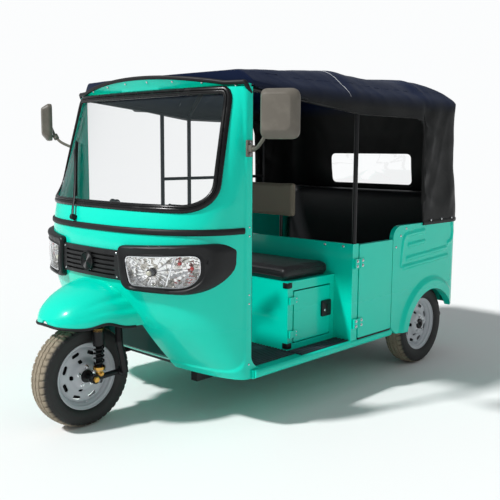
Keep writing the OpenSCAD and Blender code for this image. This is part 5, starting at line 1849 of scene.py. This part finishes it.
# Bends of each bead: distance behind the quarter's front edge, height
BEADS = [[(0.088, 0.640), (0.092, 0.680), (0.100, 0.752), (0.112, 0.792), (0.150, 0.812), (0.330, 0.822)],
         [(0.165, 0.752), (0.330, 0.760)], [(0.150, 0.676), (0.590, 0.700)], [(0.112, 0.628), (0.610, 0.650)],
         [(0.655, 0.838), (0.668, 0.790), (0.652, 0.742), (0.615, 0.728)]]


def tub(length, out):
    """The rear body's wall in plan: straight along the side, then round the corner."""
    turn = np.clip((length - straight) / corner_radius, 0, math.pi / 2)
    x = side_half - corner_radius + (corner_radius + out) * np.cos(turn)
    y = quarter_y + np.minimum(length, straight) + (corner_radius + out) * np.sin(turn)
    return x, y


def near_line(a, b, line):
    """Distance of points (a, b) from a line of points."""
    best = np.full(np.shape(a), 9.0)
    for (a0, b0), (a1, b1) in zip(line, line[1:]):
        step_a, step_b = a1 - a0, b1 - b0
        share = np.clip(((a - a0) * step_a + (b - b0) * step_b) / (step_a ** 2 + step_b ** 2), 0, 1)
        best = np.minimum(best, np.hypot(a - a0 - share * step_a, b - b0 - share * step_b))
    return best


def pressings(length, z):
    out = np.zeros(np.shape(length))
    for line in BEADS:
        away = near_line(length, z, smooth_line(np.array(line), 6))
        out = np.maximum(out, 0.0075 * np.sqrt(np.clip(1 - (away / 0.0125) ** 2, 0, 1)))
    ring = np.hypot(quarter_y + length - rear_axle_y, z - arch_z) - arch_radius
    flare = 0.019 * (1 - ease(ring, 0.046, 0.078)) * (1 - ease(length, straight - 0.03, straight + 0.03))
    return np.maximum(out, flare)


# %% [markdown]
# The panel is a thin shell, so it is made of two sheets and four edges. Columns are closer together at the
# front hump and at the arch, where the outline bends most.

# %% Quarter panels
def quarter_sheet():
    end = straight + corner_radius * math.pi / 2
    arch = (rear_axle_y - quarter_y) + arch_radius * np.cos(np.linspace(math.pi, 0, 110))
    length = np.unique(np.concatenate([np.linspace(0, 0.09, 40), np.linspace(0.09, end, 130), arch]))
    length = length[(length >= 0) & (length <= end)]
    y = quarter_y + length
    half = np.sqrt(np.clip(arch_radius ** 2 - (y - rear_axle_y) ** 2, 0, None))
    foot = np.where(y < rear_axle_y, np.interp(length, [0, 0.03, 0.06], [0.296, 0.270, 0.252]), tub_low)
    low = np.where(np.abs(y - rear_axle_y) < arch_radius, np.maximum(arch_z + half, foot), foot)
    rise = np.clip(1 - (1 - length / 0.080) ** 2, 0, 1)
    high = np.where(length < 0.080, 0.803 + 0.067 * np.sqrt(rise), 0.870)
    share = np.linspace(0, 1, 80)[:, None]
    z = low + share * (high - low)
    flat = np.broadcast_to(length, z.shape)
    rows = []
    for inset in (0.0, 0.026):
        x, y = tub(flat, pressings(flat, z) if inset == 0 else -inset)
        rows.append(np.stack([x, y, z], -1))
    outer, inner = rows
    pairs = [(outer[0], inner[0]), (outer[-1], inner[-1]),
             (outer[:, 0], inner[:, 0]), (outer[:, -1], inner[:, -1])]
    return merged([sheet(outer), sheet(inner[::6, ::3])] + [sheet(pair) for pair in pairs])


quarter_shape = quarter_sheet()
piece("quarter_left_panel", "body", teal_paint, quarter_shape, ["quarter_left"], crisp=40)
piece("quarter_right_panel", "body", teal_paint, mirrored(quarter_shape), ["quarter_right"],
      crisp=40)

# %% [markdown]
# ## Sill
# The floor's edge is rolled over, and the doorway's lower front corner is filled with a curved gusset, so
# that the pillar's rim runs into the sill in one line. A rubber strip closes the gap under the door.

# %% Rolled sill and gusset
def sill(side):
    y = np.linspace(pillar_y + 0.010, quarter_y + 0.010, 30)
    line = np.stack([np.full_like(y, side * (side_half - 0.012)), y, np.full_like(y, 0.271)], 1)
    profile = two_sided([(-0.0195, 0.0), (-0.0195, 0.004), (-0.016, 0.010), (-0.008, 0.0135)])
    return sweep(line, (side, 0, 0), profile)


def gusset(side):
    """A concave fillet between the pillar and the floor."""
    reach, foot = 0.075, 0.289
    turns = np.linspace(0, math.pi / 2, 16)
    curve = [(pillar_y + reach * (1 - math.sin(t)), foot + reach * (1 - math.cos(t))) for t in turns]
    back, under = pillar_y - 0.004, foot - 0.030
    outline = np.array(curve + [(back, foot + reach), (back, under), (pillar_y + reach, under)])
    rings = [facing_side(outline, side * (shell_half + out)) for out in (-0.012, 0.004, 0.007)]
    return sheet(rings, wrap=True, caps=True)


piece("sill_rolls", "body", teal_paint, merged([each_side(sill), each_side(gusset)]), crisp=40)
gap_line = [(side_half - 0.001, y, 0.2925) for y in np.linspace(door_y + 0.004, quarter_y - 0.008, 12)]
gap_strip = sweep(gap_line, (1, 0, 0), two_sided([(-0.005, -0.006), (-0.005, 0.001)]))
piece("door_gap_strip", "body", trim_rubber, gap_strip)

# %% [markdown]
# ## Floor and light
# The floor is a plain pale disc that turns white with distance, so no horizon shows. One broad lamp
# ahead on the vehicle's right makes the long soft shadow, and a pale sky fills the shaded side.

# %% Stage
backdrop = (0.97, 0.98, 0.985, 1.0)


def stage_floor():
    floor_mesh = bpy.data.meshes.new("floor")
    shape = bmesh.new()
    bmesh.ops.create_circle(shape, cap_ends=True, segments=96, radius=60.0)
    shape.to_mesh(floor_mesh)
    floor = linked("floor", floor_mesh)
    finish = Finish("pale_floor", roughness=0.9, base_color=srgb(236, 237, 236), specular_ior_level=0.1)
    away = finish.node("ShaderNodeVectorMath", {"operation": "LENGTH"}, {0: finish.place()}, "Value")
    far = finish.between(away, 2.6, 7.0)
    paths = finish.tree.nodes.new("ShaderNodeLightPath").outputs
    camera_ray, glossy, passed = (Value(finish, paths[f"Is {kind} Ray"])
                                  for kind in ("Camera", "Glossy", "Transmission"))
    seen = camera_ray + glossy + passed
    white = finish.node("ShaderNodeEmission", {}, {"Color": backdrop})
    painted = Value(finish, finish.shader.outputs[0])
    mixed = finish.node("ShaderNodeMixShader", {}, {0: far * seen, 1: painted, 2: white})
    finish.join(finish.tree.nodes["Material Output"].inputs["Surface"], mixed)
    floor_mesh.materials.append(finish.material)


def sky(strength):
    world = bpy.data.worlds.new("sky")
    bpy.context.scene.world = world
    world.use_nodes = True
    tree = world.node_tree
    dome = tree.nodes["Background"]
    dome.inputs["Color"].default_value = (0.93, 0.97, 1.0, 1.0)
    dome.inputs["Strength"].default_value = strength
    seen = tree.nodes.new("ShaderNodeBackground")
    seen.inputs["Color"].default_value = backdrop
    paths = tree.nodes.new("ShaderNodeLightPath")
    either = tree.nodes.new("ShaderNodeMath")
    both = tree.nodes.new("ShaderNodeMixShader")
    for source, target in [(paths.outputs["Is Camera Ray"], either.inputs[0]),
                           (paths.outputs["Is Transmission Ray"], either.inputs[1]),
                           (either.outputs[0], both.inputs[0]), (dome.outputs[0], both.inputs[1]),
                           (seen.outputs[0], both.inputs[2]),
                           (both.outputs[0], tree.nodes["World Output"].inputs["Surface"])]:
        tree.links.new(source, target)


def lamp(name, kind, place, target, energy, size):
    light = bpy.data.lights.new(name, kind)
    light.energy = energy
    if kind == "SUN":
        light.angle = size
    else:
        light.size = size
    made = linked(name, light)
    made.visible_glossy = kind == "SUN"
    made.location = place
    made.rotation_euler = (Vector(target) - Vector(place)).to_track_quat("-Z", "Y").to_euler()


stage_floor()
sky(0.37)
lamp("key", "SUN", (-1.6, -4.2, 5.05), (0, 0, 0.4), 3.6, math.radians(5))
lamp("soft_side", "AREA", (4.6, -0.6, 3.4), (0, 0.2, 0.8), 10.0, 3.0)
print("floor, sky and two lamps")
